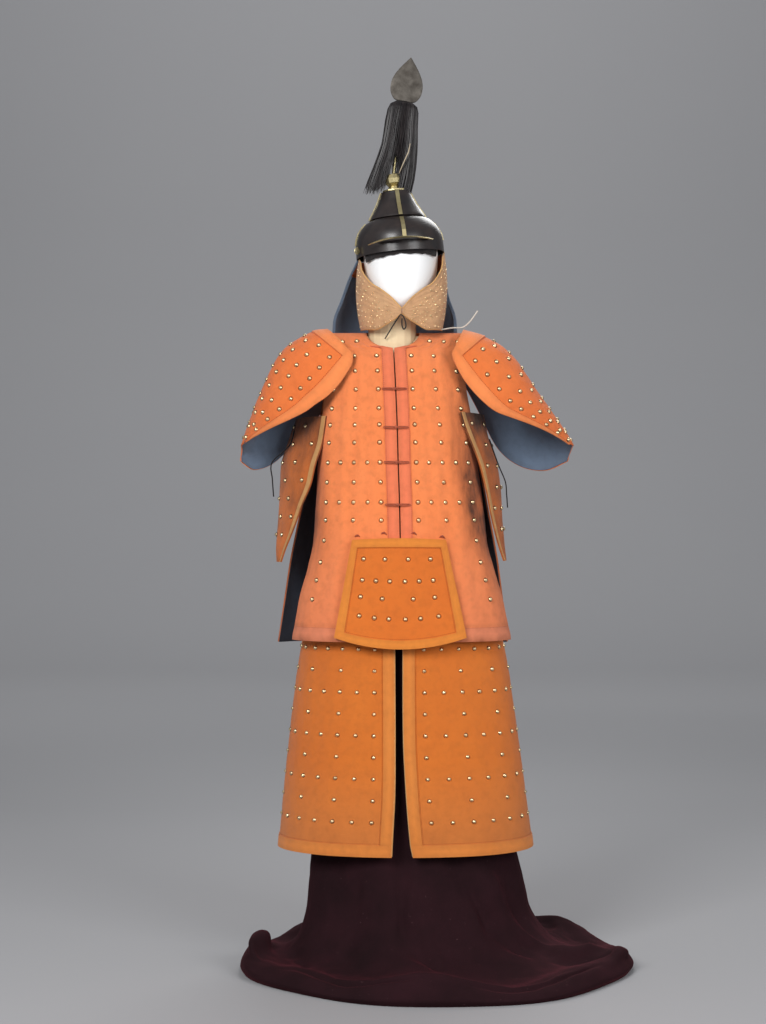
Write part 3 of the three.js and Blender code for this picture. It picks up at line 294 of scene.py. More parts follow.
THREAD = woven("red_thread", (176, 76, 44), (150, 60, 34), (84, 46, 30), pitch=0.5)
BROWN_THREAD = woven("brown_thread", (164, 80, 26), (140, 64, 22), (84, 46, 24),
                     pitch=0.5)
BRASS = metal("brass", (206, 192, 146), (130, 112, 76), 0.32)
# Its dark second colour is also painted shade and dirt round the studs' feet
STUD_BRASS = metal("stud_brass", (250, 222, 174), (78, 48, 28), 0.18, 0.1)
STEEL = metal("worn_steel", (104, 99, 93), (76, 70, 64), 0.55, 0.5)
LACQUER = lacquered()
HAIR = haired()
QUILL = smooth_shell("pale_quill", (190, 176, 150), (150, 130, 104), 0.6, 300.0)
VELVET = plush()
COVER = woven("form_cover", (240, 218, 180), (226, 200, 158), (170, 144, 108),
              pitch=1.0)
BLANK = smooth_shell("blank_head", (252, 252, 252), (248, 248, 248), 0.5, 200.0)
STAND = smooth_shell("stand_paint", (58, 58, 60), (48, 48, 50), 0.4, 300.0)


# Making pieces

def alone(piece=None):
    for other in bpy.context.selected_objects:
        other.select_set(False)
    if piece:
        piece.select_set(True)
        bpy.context.view_layer.objects.active = piece


def finish_with(piece, kind, **settings):
    """Adds a modifier and applies it."""
    alone(piece)
    modifier = piece.modifiers.new(kind.lower(), kind)
    for key, value in settings.items():
        setattr(modifier, key, value)
    bpy.ops.object.modifier_apply(modifier=modifier.name)


def keep(piece, slot, material, *nodes, angle=40):
    """Gives a piece its finish and hides the CAD nodes that it stands for."""
    alone(piece)
    if piece.type == "MESH":
        bpy.ops.object.shade_smooth_by_angle(angle=math.radians(angle))
    piece.data.materials.clear()
    piece.data.materials.append(material)
    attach(piece, "root")
    if nodes:
        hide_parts(*nodes)
    return piece


def finish_nodes(material, *names):
    """Gives a finish to CAD nodes that show as they are."""
    for name in names:
        node = bpy.data.objects[name]
        node.data.materials.clear()
        node.data.materials.append(material)


class Surface:
    """A piece's outer face in millimetres, u to the right and v up, seen from outside."""

    def __init__(self, place, relief=None):
        self.place = place
        self.relief = relief or (lambda u, v: 0.0)

    def normal(self, u, v):
        step = 0.002
        ua, ub = max(u - step, 0), min(u + step, 1)
        va, vb = max(v - step, 0), min(v + step, 1)
        across = self.place(ub, v) - self.place(ua, v)
        up = self.place(u, vb) - self.place(u, va)
        return across.cross(up).normalized()

    def at(self, u, v, lift=0.0):
        return self.place(u, v) + self.normal(u, v) * (self.relief(u, v) + lift)


def sheet(name, surface, cols, rows, size, wall, lift=0.0, part=(0, 1, 0, 1), wear=None,
          soot=None, even=True):
    """A wall of cloth on a surface, or on a part of it, from a grid."""
    alone()
    bpy.ops.mesh.primitive_grid_add(x_subdivisions=cols, y_subdivisions=rows, size=2)
    piece = bpy.context.object
    piece.name = piece.data.name = name + "_cloth"
    mesh = piece.data
    # wear: dirt and wear, and painted shade at the armpit guards' tops; soot: painted shade beside and
    # on the armpit guards, with soot
    mesh.attributes.new("wear", "FLOAT", "POINT")
    mesh.attributes.new("soot", "FLOAT", "POINT")
    worn_and_shaded, sooty = mesh.attributes["wear"], mesh.attributes["soot"]
    shares = []
    for k, vertex in enumerate(mesh.vertices):
        s, t = (vertex.co.x + 1) / 2, (vertex.co.y + 1) / 2
        u, v = mix(part[0], part[1], s), mix(part[2], part[3], t)
        shares.append((s, t))
        spot = surface.at(u, v, lift)
        vertex.co = spot * MM
        edge = min(s * size[0], (1 - s) * size[0], t * size[1], (1 - t) * size[1])
        dirt = 0.35 * (1 - ramp(edge, 0, 14))
        worn_and_shaded.data[k].value = min(max(dirt + (wear(u, v, spot) if wear else 0), 0), 1)
        sooty.data[k].value = min(max(soot(u, v, spot), 0), 1) if soot else 0
    layer = mesh.uv_layers[0]
    for loop in mesh.loops:
        s, t = shares[loop.vertex_index]
        layer.data[loop.index].uv = (s * size[0] * MM, t * size[1] * MM)
    mesh.update()
    finish_with(piece, "SOLIDIFY", thickness=wall * MM, offset=-1, use_even_offset=even)
    return piece


def panel(name, surface, cols, rows, size, wall, slot, material, flat, under, nodes=None, **more):
    """A sheet with its finish; its flat cut in metres and the pieces that it hangs on are not used."""
    cut = {"area": more.pop("area")} if "area" in more else {}
    piece = sheet(name, surface, cols, rows, size, wall, **more)
    keep(piece, slot, material, *([name] if nodes is None else nodes))


def extruded_rows(name, rows, count, power=2.0, capped=True):
    """A lofted form: a disc extruded and resized through rows of z, cx, cy, a, b."""
    alone()
    z, cx, cy, a, b = rows[0]
    bpy.ops.mesh.primitive_circle_add(vertices=count, radius=1,
                                      fill_type="NGON" if capped else "NOTHING")
    piece = bpy.context.object
    piece.name = piece.data.name = name
    for vertex in piece.data.vertices:
        x, y = vertex.co.x, vertex.co.y
        vertex.co = Vector((math.copysign(abs(x) ** (2 / power), x) * a + cx,
                            math.copysign(abs(y) ** (2 / power), y) * b + cy, z))
    bpy.ops.object.mode_set(mode="EDIT")
    bpy.ops.mesh.select_all(action="SELECT")
    for z2, cx2, cy2, a2, b2 in rows[1:]:
        bpy.ops.mesh.extrude_region_move(
            TRANSFORM_OT_translate={"value": (cx2 - cx, cy2 - cy, z2 - z)})
        bpy.ops.transform.resize(value=(a2 / a, b2 / b, 1), center_override=(cx2, cy2, z2))
        z, cx, cy, a, b = z2, cx2, cy2, a2, b2
    bpy.ops.mesh.select_all(action="SELECT")
    bpy.ops.mesh.normals_make_consistent(inside=False)
    bpy.ops.object.mode_set(mode="OBJECT")
    return piece


def turned(name, profile, count, capped=True):
    """A round form from rows of radius and height."""
    return extruded_rows(name, [(h, 0, 0, r, r) for r, h in profile], count, capped=capped)


def eased(rows, steps):
    """More rows between the given ones, on a smooth line."""
    out = []
    for k in range(len(rows) - 1):
        before = rows[max(k - 1, 0)]
        after = rows[min(k + 2, len(rows) - 1)]
        for n in range(steps):
            t = n / steps
            t2, t3 = t * t, t * t * t
            out.append(tuple(
                0.5 * (2 * b + (c - a) * t + (2 * a - 5 * b + 4 * c - d) * t2
                       + (3 * b - a - 3 * c + d) * t3)
                for a, b, c, d in zip(before, rows[k], rows[k + 1], after)))
    out.append(tuple(rows[-1]))
    return out


def placed(piece, matrix=None):
    """Puts a form made in millimetres at its place, in metres."""
    piece.data.transform(Matrix.Scale(MM, 4) @ (matrix or Matrix()))
    piece.data.update()
    return piece


def joined(name, pattern, places):
    """Copies of one small pattern mesh, a matrix in millimetres for each."""
    made = bmesh.new()
    worn_and_shaded = made.verts.layers.float.new("wear")
    source = bmesh.new()
    source.from_mesh(pattern)
    layer = source.verts.layers.float.get("wear")
    for matrix in places:
        copies = {}
        for vertex in source.verts:
            copy = made.verts.new((matrix @ vertex.co) * MM)
            copy[worn_and_shaded] = vertex[layer] if layer else 0
            copies[vertex.index] = copy
        for face in source.faces:
            made.faces.new([copies[v.index] for v in face.verts])
    source.free()
    mesh = bpy.data.meshes.new(name)
    made.to_mesh(mesh)
    made.free()
    piece = bpy.data.objects.new(name, mesh)
    bpy.context.collection.objects.link(piece)
    return piece


def standing(spot, normal, turn=0.0, scale=1.0):
    """The place of a small pattern that stands on a surface."""
    upright = normal.to_track_quat("Z", "Y").to_matrix().to_4x4()
    return (Matrix.Translation(spot) @ upright @ Matrix.Rotation(turn, 4, "Z")
            @ Matrix.Scale(scale, 4))


def as_pattern(piece):
    """Keeps a form's mesh, to be copied, and drops its object."""
    mesh = piece.data
    bpy.data.objects.remove(piece)
    return mesh


def stud_pattern():
    """A domed stud on a thin flange, which is darkened with painted shade and dirt round its foot."""
    rows = [(5.9, -0.6), (5.9, 0.3), (5.1, 0.7), (4.8, 1.7), (3.6, 3.5), (1.8, 4.6), (0.5, 4.9)]
    stud = turned("stud_pattern", rows, 10)
    worn_and_shaded = stud.data.attributes.new("wear", "FLOAT", "POINT")
    for k, vertex in enumerate(stud.data.vertices):
        # The flange and the dome's foot take painted shade, with dirt, through the wear attribute
        worn_and_shaded.data[k].value = 1 - ramp(vertex.co.z, 0.5, 2.2)
    return as_pattern(stud)


STUD = stud_pattern()


def stud_field(name, surface, spots):
    places = []
    for n, (u, v) in enumerate(spots):
        places.append(standing(surface.at(u, v), surface.normal(u, v), n * 1.3,
                               1 + 0.04 * wander(n * 3.7, 1.0)))
    piece = joined(name, STUD, places)
    return keep(piece, "brass", STUD_BRASS, angle=50)


STITCH_LENGTH = 3.4


def stitch_pattern():
    """A thread that dips into the cloth at both ends."""
    alone()
    bpy.ops.mesh.primitive_cylinder_add(vertices=4, radius=0.55, depth=STITCH_LENGTH,
                                        rotation=(0, math.pi / 2, 0))
    stitch = bpy.context.object
    bpy.ops.object.transform_apply(location=True, rotation=True, scale=True)
    bpy.ops.object.mode_set(mode="EDIT")
    bpy.ops.mesh.select_all(action="SELECT")
    bpy.ops.mesh.subdivide(number_cuts=1)
    bpy.ops.object.mode_set(mode="OBJECT")
    for vertex in stitch.data.vertices:
        share = abs(vertex.co.x) / (STITCH_LENGTH / 2)
        vertex.co.z -= 0.8 * share ** 2
    return as_pattern(stitch)


STITCH = stitch_pattern()


def seam(name, surface, lines, material, slot, lift=0.25, pitch=4.6):
    """Rows of stitches along lines of u, v points."""
    places = []
    for line in lines:
        spots = [surface.at(u, v, lift) for u, v in line]
        faces = [surface.normal(u, v) for u, v in line]
        left = pitch / 2
        for k in range(len(spots) - 1):
            step = spots[k + 1] - spots[k]
            length = step.length
            while left < length:
                t = left / length
                way, up = step.normalized(), faces[k].lerp(faces[k + 1], t).normalized()
                side = up.cross(way).normalized()
                up = way.cross(side)
                turn = Matrix((way, side, up)).transposed().to_4x4()
                places.append(Matrix.Translation(spots[k].lerp(spots[k + 1], t)) @ turn)
                left += pitch
            left -= length
    return keep(joined(name, STITCH, places), slot, material)


def line(start, end, steps=40):
    return [(mix(start[0], end[0], k / steps), mix(start[1], end[1], k / steps))
            for k in range(steps + 1)]


def smooth_path(points, steps=6):
    return [Vector(p) for p in eased(points, steps)]


def round_curve(name, paths, depth, resolution):
    """Round strands along paths of x, y, z and radius, where the radius is a share of depth."""
    curve = bpy.data.curves.new(name, "CURVE")
    curve.dimensions = "3D"
    curve.bevel_depth = depth
    curve.bevel_resolution = resolution
    curve.use_fill_caps = True
    for path in paths:
        spline = curve.splines.new("POLY")
        spline.points.add(len(path) - 1)
        for point, (x, y, z, radius) in zip(spline.points, path):
            point.co = (x * MM, y * MM, z * MM, 1)
            point.radius = radius
    piece = bpy.data.objects.new(name, curve)
    bpy.context.collection.objects.link(piece)
    return piece


def strands(name, paths, slot, material, *nodes):
    """Many thin strands in one mesh. Each path lists x, y, z and the strand's radius there."""
    alone(round_curve(name, paths, MM, 0))
    bpy.ops.object.convert(target="MESH")
    return keep(bpy.context.object, slot, material, *nodes, angle=60)


def binding(name, surface, spots, radius, slot, material, lift=0.6):
    """A rolled edge along u, v points of a surface."""
    path = [(*surface.at(u, v, lift), radius) for u, v in spots]
    return strands(name, [path], slot, material)


# The ties, each on the way its solid takes

def tie(name, points, radius, slot, material):
    path = smooth_path(points)
    piece = round_curve(name + "_braid", [[(*p, 1) for p in path]], radius * MM, 1)
    keep(piece, slot, material, name)


CHIN_TIE = [(-33, -65, 1449), (-22, -78, 1466), (-6, -97.6, 1490), (4, -106.6, 1501),
            (12, -109.4, 1490), (15, -111, 1474), (10, -112, 1467), (6, -112, 1476), (6, -111, 1492)]
WHITE_TIE = [(98.2, -34, 1473), (125, -14, 1479), (150, 0, 1482), (168, 4, 1497), (185, 6, 1521)]
TIE_RADIUS, CHIN_RADIUS, WHITE_RADIUS = 1.6, 1.5, 1.8
LEFT_TIE = [(-247.15, 25.96, 1240.69), (-259.17, 24.67, 1203.72), (-301, 46, 1165),
            (-300, 44, 1125), (-297, 42, 1084)]
RIGHT_TIE = [(213.49, 18.52, 1219.71), (233.49, 15.91, 1161.55), (251, 22, 1120),
             (254, 18, 1090), (256, 14, 1058)]
tie("tie_cord_left", LEFT_TIE, TIE_RADIUS, "cord", CORD)
tie("tie_cord_right", RIGHT_TIE, TIE_RADIUS, "cord", CORD)
tie("chin_tie", CHIN_TIE, CHIN_RADIUS, "cord", CORD)
tie("white_tie", WHITE_TIE, WHITE_RADIUS, "piping", PIPING)

HANDS = ((-1, "left"), (1, "right"))


def sided(u, hand):
    """The share across a right piece, or its mirror on the left one."""
    return u if hand > 0 else 1 - u


# The coat

SHOULDER = 1468
ROUNDING = 90
CORNER = 2.4
SEAM_HALF = 1.3
COAT_WALL = 4.5
# Borders, plackets and pipings lie on their panels
TAPE_WALL, TAPE_LIFT = 2.0, 2.3
table("coat", "at width front back backWidth edge lean",
      (735, 266, 173, 170, 322, 277, 5), (850, 243, 165, 160, 296, 261, 4),
      (960, 211, 156, 148, 262, 243, 2), (1070, 199, 145, 136, 238, 221, 0),
      (1160, 191, 136, 126, 217, 202, -3), (1240, 185, 128, 116, 200, 186, -5),
      (1340, 177, 112, 98, 180, 167, -9), (1400, 176, 96, 84, 177, 166, -12),
      (1468, 176, 78, 66, 176, 165, -15))
table("side", "at share", (735, 0.97), (1215, 0.97), (1330, 0.93), (1468, 0.94))
NECK_HALF, NECK_FRONT, NECK_BACK = 62, 41, 14
COAT_HEM, BACK_HEM = 752, 737
HEM_SEAM = COAT_HEM + 31
ROW_EASE = 1.6
OPENING_HALF, PLACKET_HALF, PLACKET_TOP = 1.5, 28.5, 1431
FRONT_SIZE, BACK_SIZE = (245, 730), (560, 740)
STUD_ROWS = [(847, "second"), (891, "second"), (932, "second"), (982, "second"),
             (1029, "second"), (1070, "each"), (1116, "second"), (1161, "each"),
             (1207, "second"), (1248, "second"), (1286, "second"), (1330, "second"),
             (1373, "second"), (1409, "second"), (1445, "high")]
FRONT_COLUMNS = {"second": [0.083, 0.463, 0.845], "each": [0.083, 0.265, 0.463, 0.661, 0.845],
                 "high": [0.07, 0.46, 0.84]}
BACK_COLUMNS = {"second": [0, 0.375, 0.715], "each": [0, 0.205, 0.375, 0.545, 0.715, 0.865],
                "high": [0.3, 0.6, 0.865]}


def coat_depth(x, z, side, grow=0.0):
    left = 1 - min(max((SHOULDER - z) / ROUNDING, 0), 1)
    width = along("coat", z, "width" if side == "front" else "backWidth") + grow
    depth = (along("coat", z, side) + grow) * math.sqrt(1 - left * left)
    return depth * (1 - min(abs(x) / width, 1) ** CORNER) ** (1 / CORNER)


def neck_edge(z, drop):
    share = (SHOULDER - z) / drop
    return 0.0 if share >= 1 else NECK_HALF * math.sqrt(1 - share * share)


def coat_height(v, hem=COAT_HEM):
    return round(mix(SHOULDER, hem, (1 - v) ** ROW_EASE), 2)


def coat_share(z, hem=COAT_HEM):
    return 1 - ((SHOULDER - z) / (SHOULDER - hem)) ** (1 / ROW_EASE)


def front_span(z):
    inner = max(neck_edge(z, NECK_FRONT), OPENING_HALF)
    return inner, along("coat", z, "width") * along("side", z, "share")


def front_place(hand):
    def place(u, v):
        z = coat_height(v)
        inner, edge = front_span(z)
        x = mix(inner, edge, sided(u, hand))
        return Vector((along("coat", z, "lean") + hand * x,
                       -coat_depth(x, z, "front") - SEAM_HALF, z))
    return place


def front_uv(hand, x, z):
    inner, edge = front_span(z)
    s = (x - inner) / (edge - inner)
    return sided(s, hand), coat_share(z)


def front_spots(hand):
    spots = []
    for z, kind in STUD_ROWS:
        for share in FRONT_COLUMNS[kind]:
            if z > 1000 or share > 0.6:
                inner, edge = front_span(z)
                spots.append((mix(inner + PLACKET_HALF - OPENING_HALF, edge, share), z))
    return spots


def dimpled(spots, x, z, reach=18.0, depth=1.3):
    """How far the cloth is drawn in round its studs."""
    drawn = 0.0
    for sx, sz in spots:
        if abs(sx - x) < reach and abs(sz - z) < reach:
            away = math.hypot(sx - x, sz - z) / reach
            if away < 1:
                drawn = max(drawn, (1 - away * away) ** 2)
    return -depth * drawn


def front_relief(hand):
    """Sewn channels, long folds, small creases, a rolled hem and the stud's dimples."""
    spots = front_spots(hand)

    def relief(u, v):
        z = coat_height(v)
        inner, edge = front_span(z)
        x = mix(inner, edge, sided(u, hand))
        share = (x - inner) / (edge - inner)
        channels = -1.0 * math.cos(share * 2 * math.pi * 5.2) * ramp(x, 34, 60)
        long_fold = 2.8 * wander(hand * 40 + x * 0.016, z * 0.0035) * ramp(z, 1460, 1300)
        small = wander(x * 0.05, z * 0.018, hand * 9.0) + 0.5 * wander(x * 0.11, z * 0.07, 3.0)
        hem = bump(z, COAT_HEM + 14, 17)
        return (channels + long_fold + small) * ramp(SHOULDER - z, 0, 40) * ramp(x, 26, 60) \
            + dimpled(spots, x, z) + hem
    return relief


def front_wear(hand):
    """Brown: darker towards the left edge and the right side, a stain on the right chest, streaks and
    a worn hem.
    """
    def wear(u, v, spot):
        x, z = abs(spot.x - along("coat", coat_height(v), "lean")), spot.z
        rough = 0.5 + 0.5 * wander(spot.x * 0.03, z * 0.011, 7.0)
        if hand < 0:
            stain = 0.7 * ramp(x, 150, 200) * bump(z, 1060, 190)
        else:
            stain = 0.85 * bump(x, 158, 62) * bump(z, 1235, 185) * (0.4 + rough)
            stain += 0.8 * ramp(x, 168, 205) * bump(z, 1040, 230)
        streak = 0.2 * max(wander(spot.x * 0.07, z * 0.006), 0) * ramp(x, 60, 110)
        hem = 0.3 * ramp(COAT_HEM + 6 - z, -6, 4) + 0.5 * bump(z, HEM_SEAM, 7)
        return stain + streak * (1.6 if hand > 0 else 0.7) + hem
    return wear


def front_soot(hand):
    """Painted shade and black dirt along the coat's side edges, beside the armpit guards, most of it
    on the right.
    """
    def soot(u, v, spot):
        x, z = abs(spot.x - along("coat", coat_height(v), "lean")), spot.z
        rough = 0.6 + 0.6 * wander(spot.x * 0.05, z * 0.02, 17.0)
        edge = front_span(round(z, 1))[1]
        if hand < 0:
            return 0.6 * ramp(x / edge, 0.86, 1) * bump(z, 1040, 130) * rough
        return 2.0 * ramp(x / edge, 0.68, 0.88) * bump(z, 1075, 170) * rough
    return soot


for hand, word in HANDS:
    front = Surface(front_place(hand), front_relief(hand))
    panel(f"coat_front_{word}", front, 56, 130, FRONT_SIZE, COAT_WALL, "coat", COAT,
          (0.26, 0.76), ["form_torso"], wear=front_wear(hand), soot=front_soot(hand))
    spots = [front_uv(hand, x, z) for x, z in front_spots(hand)]
    stud_field(f"coat_front_{word}_studs", front, spots)

    def placket_place(u, v, hand=hand):
        z = coat_height(v * coat_share(PLACKET_TOP))
        x = front_span(z)[0] + sided(u, hand) * (PLACKET_HALF - OPENING_HALF)
        return front.place(*front_uv(hand, x, z))

    strip = Surface(placket_place, lambda u, v: 0.5 * wander(u * 2, v * 30, 5.0))
    panel(f"placket_{word}", strip, 12, 120, (28, 680), TAPE_WALL, "placket", COAT_PINK,
          (0.03, 0.70), [f"coat_front_{word}"], lift=TAPE_LIFT)
    near = 0.93 if hand > 0 else 0.07
    seam(f"placket_{word}_stitches", strip, [line((near, 0.01), (near, 0.99), 90)], THREAD, "placket",
         lift=2.5)
    seam(f"hem_{word}_stitches", front,
         [[(k / 60, coat_share(HEM_SEAM)) for k in range(1, 60)]], THREAD, "coat")


# The back hangs further to the left the wider it gets
BACK_SHIFT, BACK_SHIFT_FROM = -0.17, 165
LINING_TOP = 1380


def back_place(u, v):
    z = coat_height(v, BACK_HEM)
    edge = along("coat", z, "edge")
    lean = along("coat", z, "lean") + BACK_SHIFT * (edge - BACK_SHIFT_FROM)
    start = neck_edge(z, NECK_BACK)
    share = 1 - 2 * u
    x = math.copysign(mix(start, edge, abs(share)), share)
    return Vector((lean + x, SEAM_HALF + coat_depth(x, z, "back"), z))


def back_relief(u, v):
    z = coat_height(v, BACK_HEM)
    x = (1 - 2 * u) * along("coat", z, "edge")
    channels = -0.5 * math.cos(x * 2 * math.pi / 38)
    folds = 2.5 * wander(x * 0.013, z * 0.004, 31.0) * ramp(z, 1460, 1300)
    return (channels + folds + 0.7 * wander(x * 0.05, z * 0.02, 37.0)) * ramp(SHOULDER - z, 0, 40) \
        + dimpled(BACK_SPOTS, x, z)


BACK_SPOTS = []
for z, kind in STUD_ROWS:
    for share in BACK_COLUMNS[kind]:
        edge = along("coat", z, "edge")
        BACK_SPOTS += [(0, z)] if share == 0 else [(share * edge, z), (-share * edge, z)]


def back_uv(x, z):
    return (1 - x / along("coat", z, "edge")) / 2, coat_share(z, BACK_HEM)


BACK = Surface(back_place, back_relief)


panel("coat_back", BACK, 90, 130, BACK_SIZE, COAT_WALL, "coat", COAT, (0.60, 0.76), ["form_torso"],
      wear=lambda u, v, p: 0.5 * ramp(abs(u - 0.5), 0.32, 0.5))
stud_field("coat_back_studs", BACK, [back_uv(x, z) for x, z in BACK_SPOTS])
panel("coat_back_lining", BACK, 60, 60, (560, 600), 1.5, "lining", DARK_BLUE, (0.60, 0.66),
      ["coat_back"], lift=-COAT_WALL - 0.5, part=(0, 1, 0, coat_share(LINING_TOP, BACK_HEM)))

# The apron

table("apron", "at half z sag", (0, 150, 737, 25), (1, 106, 988, -4))
APRON_OUT = 8.2
APRON_WIDE, APRON_TALL = 260, 250
APRON_STUDS = [(0.81, [-0.71, -0.285, 0.177, 0.62]),
               (0.61, [-0.69, -0.44, -0.185, 0.096, 0.358, 0.617]),
               (0.45, [-0.69, -0.31, 0.229, 0.607]),
               (0.27, [-0.674, -0.425, -0.188, 0.084, 0.333, 0.632])]


def apron_place(u, v):
    s = 2 * u - 1
    half = along("apron", v, "half")
    z = along("apron", v, "z") + along("apron", v, "sag") * s * s
    return Vector((along("coat", z, "lean") - 3 + s * half,
                   -coat_depth(s * half, z, "front", APRON_OUT) - SEAM_HALF, z))


def apron_relief(u, v):
    spots = [((s * 0.5 + 0.5) * APRON_WIDE, t * APRON_TALL) for t, row in APRON_STUDS for s in row]
    return dimpled(spots, u * APRON_WIDE, v * APRON_TALL) + 1.2 * wander(u * 3, v * 2.5, 12.0)


APRON = Surface(apron_place, apron_relief)
panel("groin_apron", APRON, 70, 64, (APRON_WIDE, APRON_TALL), 4.5, "apron", APRON_CLOTH,
      (0.31, 0.26), ["coat_front_left", "coat_front_right"])
stud_field("groin_apron_studs", APRON, [((s + 1) / 2, t) for t, row in APRON_STUDS for s in row])


def frame_band(name, surface, slot, material, parts, lift=TAPE_LIFT):
    """A border of strips that lie on a panel, joined into one piece."""
    pieces = []
    for k, (part, cols, rows, size) in enumerate(parts):
        pieces.append(sheet(f"{name}_{k}", surface, cols, rows, size, TAPE_WALL, lift=lift,
                            part=part))
    alone(pieces[0])
    for other in pieces[1:]:
        other.select_set(True)
    bpy.ops.object.join()
    piece = bpy.context.object
    piece.name = name + "_cloth"
    keep(piece, slot, material, name)


EDGE_U, EDGE_V = 0.067, 0.08
frame_band("groin_apron_border", APRON, "apron_border", APRON_EDGE,
           [((0, 1, 0, EDGE_V), 70, 6, (300, 20)), ((0, 1, 1 - EDGE_V, 1), 70, 6, (220, 20)),
            ((0, EDGE_U, EDGE_V, 1 - EDGE_V), 6, 60, (18, 215)),
            ((1 - EDGE_U, 1, EDGE_V, 1 - EDGE_V), 6, 60, (18, 215))])
near, low, far, high = 0.075, 0.09, 1 - 0.075, 0.91
seam("groin_apron_stitches", APRON,
     [line((near, low), (far, low)), line((near, high), (far, high)),
      line((near, low), (near, high)), line((far, low), (far, high))], BROWN_THREAD, "apron")

# The skirt

table("skirt", "at a b cx", (268, 298, 192, 15), (450, 277, 178, 12), (600, 259, 165, 10),
      (737, 238, 150, 8), (900, 200, 134, 5), (1030, 156, 104, 2))
table("slit", "at left right", (268, 33, 15), (300, 31, 9.5), (410, 23.5, 2), (532, 21, -2.3),
      (737, 19, -0.6), (1030, 15, 2))
SKIRT_BORDER = 27
SKIRT_CORNER = 2.15
SKIRT_LOW, SKIRT_HIGH, SKIRT_TOP, BORDER_TOP = 268, 1030, 1029.7, 758
SKIRT_WIDE, SKIRT_TALL = 725, 762
SKIRT_PITCH, SKIRT_LOWEST, SKIRT_STUD_ROWS, SKIRT_CELLS = 48.7, 345, 9, 14


def skirt_point(angle, z, hand=1):
    c, s = math.cos(angle), math.sin(angle)
    power = 2 / SKIRT_CORNER
    x = math.copysign(abs(c) ** power, c) * along("skirt", z, "a")
    y = math.copysign(abs(s) ** power, s) * along("skirt", z, "b")
    return Vector((along("skirt", z, "cx") + hand * x, y, z))


def slit_angle(z, off):
    share = min(abs(off) / along("skirt", z, "a"), 1)
    return math.copysign(math.asin(share ** (SKIRT_CORNER / 2)), off)


EVEN_AT, EVEN_SLIT, EVEN_STEPS = 500, 11, 300


def even_table():
    """How far round the skirt each step of the half turn is, measured at one height."""
    start = -math.pi / 2 + slit_angle(EVEN_AT, EVEN_SLIT + SKIRT_BORDER)
    sums, last = [0.0], skirt_point(start, EVEN_AT)
    for k in range(1, EVEN_STEPS + 1):
        point = skirt_point(mix(start, -start, k / EVEN_STEPS), EVEN_AT)
        sums.append(sums[-1] + (point - last).length)
        last = point
    return [s / sums[-1] for s in sums]


EVEN = even_table()


@lru_cache(maxsize=None)
def skirt_share(u):
    """The share of the half turn at a share of the way round."""
    low, high = 0, len(EVEN) - 1
    while high - low > 1:
        middle = (low + high) // 2
        if EVEN[middle] < u:
            low = middle
        else:
            high = middle
    t = (u - EVEN[low]) / (EVEN[high] - EVEN[low])
    return (low + t) / (len(EVEN) - 1)


SKIRT_BAND = SKIRT_BORDER / SKIRT_WIDE


def skirt_place(hand, word):
    def place(u, v):
        z = round(mix(SKIRT_LOW, SKIRT_HIGH, v), 2)
        off = along("slit", z, word)
        edge = -math.pi / 2 + slit_angle(z, off)
        inner = -math.pi / 2 + slit_angle(z, off + SKIRT_BORDER)
        s = sided(u, hand)
        if s < SKIRT_BAND:
            angle = mix(edge, inner, s / SKIRT_BAND)
        elif s > 1 - SKIRT_BAND:
            angle = mix(-edge, -inner, (1 - s) / SKIRT_BAND)
        else:
            angle = mix(inner, -inner, skirt_share((s - SKIRT_BAND) / (1 - 2 * SKIRT_BAND)))
        return skirt_point(angle, z, hand)
    return place


def skirt_spots():
    spots = []
    for n in range(SKIRT_STUD_ROWS):
        for k in range(1, SKIRT_CELLS + 1, 1 if n % 2 == 0 else 2):
            u = mix(SKIRT_BAND, 1 - SKIRT_BAND, (k - 0.5) / SKIRT_CELLS)
            z = SKIRT_LOWEST + n * SKIRT_PITCH
            spots.append((u, (z - SKIRT_LOW) / (SKIRT_HIGH - SKIRT_LOW)))
    return spots


def skirt_relief(hand):
    """Long folds, small creases, and a quilted line along each row of studs."""
    spots = [(u * SKIRT_WIDE, v * SKIRT_TALL) for u, v in skirt_spots()]

    def relief(u, v):
        x, z = sided(u, hand) * SKIRT_WIDE, v * SKIRT_TALL
        folds = 2.6 * wander(x * 0.009, z * 0.003, 50 + hand * 7)
        small = (0.9 * wander(x * 0.04, z * 0.014, 60 + hand * 7)
                 + 0.5 * wander(x * 0.1, z * 0.08, 4.0))
        row = (z + SKIRT_LOW - SKIRT_LOWEST) / SKIRT_PITCH
        quilting = -0.7 * bump(row - round(row), 0, 0.12) * (0.6 + 0.4 * wander(x * 0.03, row))
        return folds + small + quilting + dimpled(spots, x, z)
    return relief


def skirt_wear(u, v, p):
    patches = 0.5 + 0.5 * wander(p.x * 0.03, p.y * 0.03)
    return 0.4 * ramp(v, 0.16, 0.02) * patches + 0.2 * ramp(p.y, -60, 40)


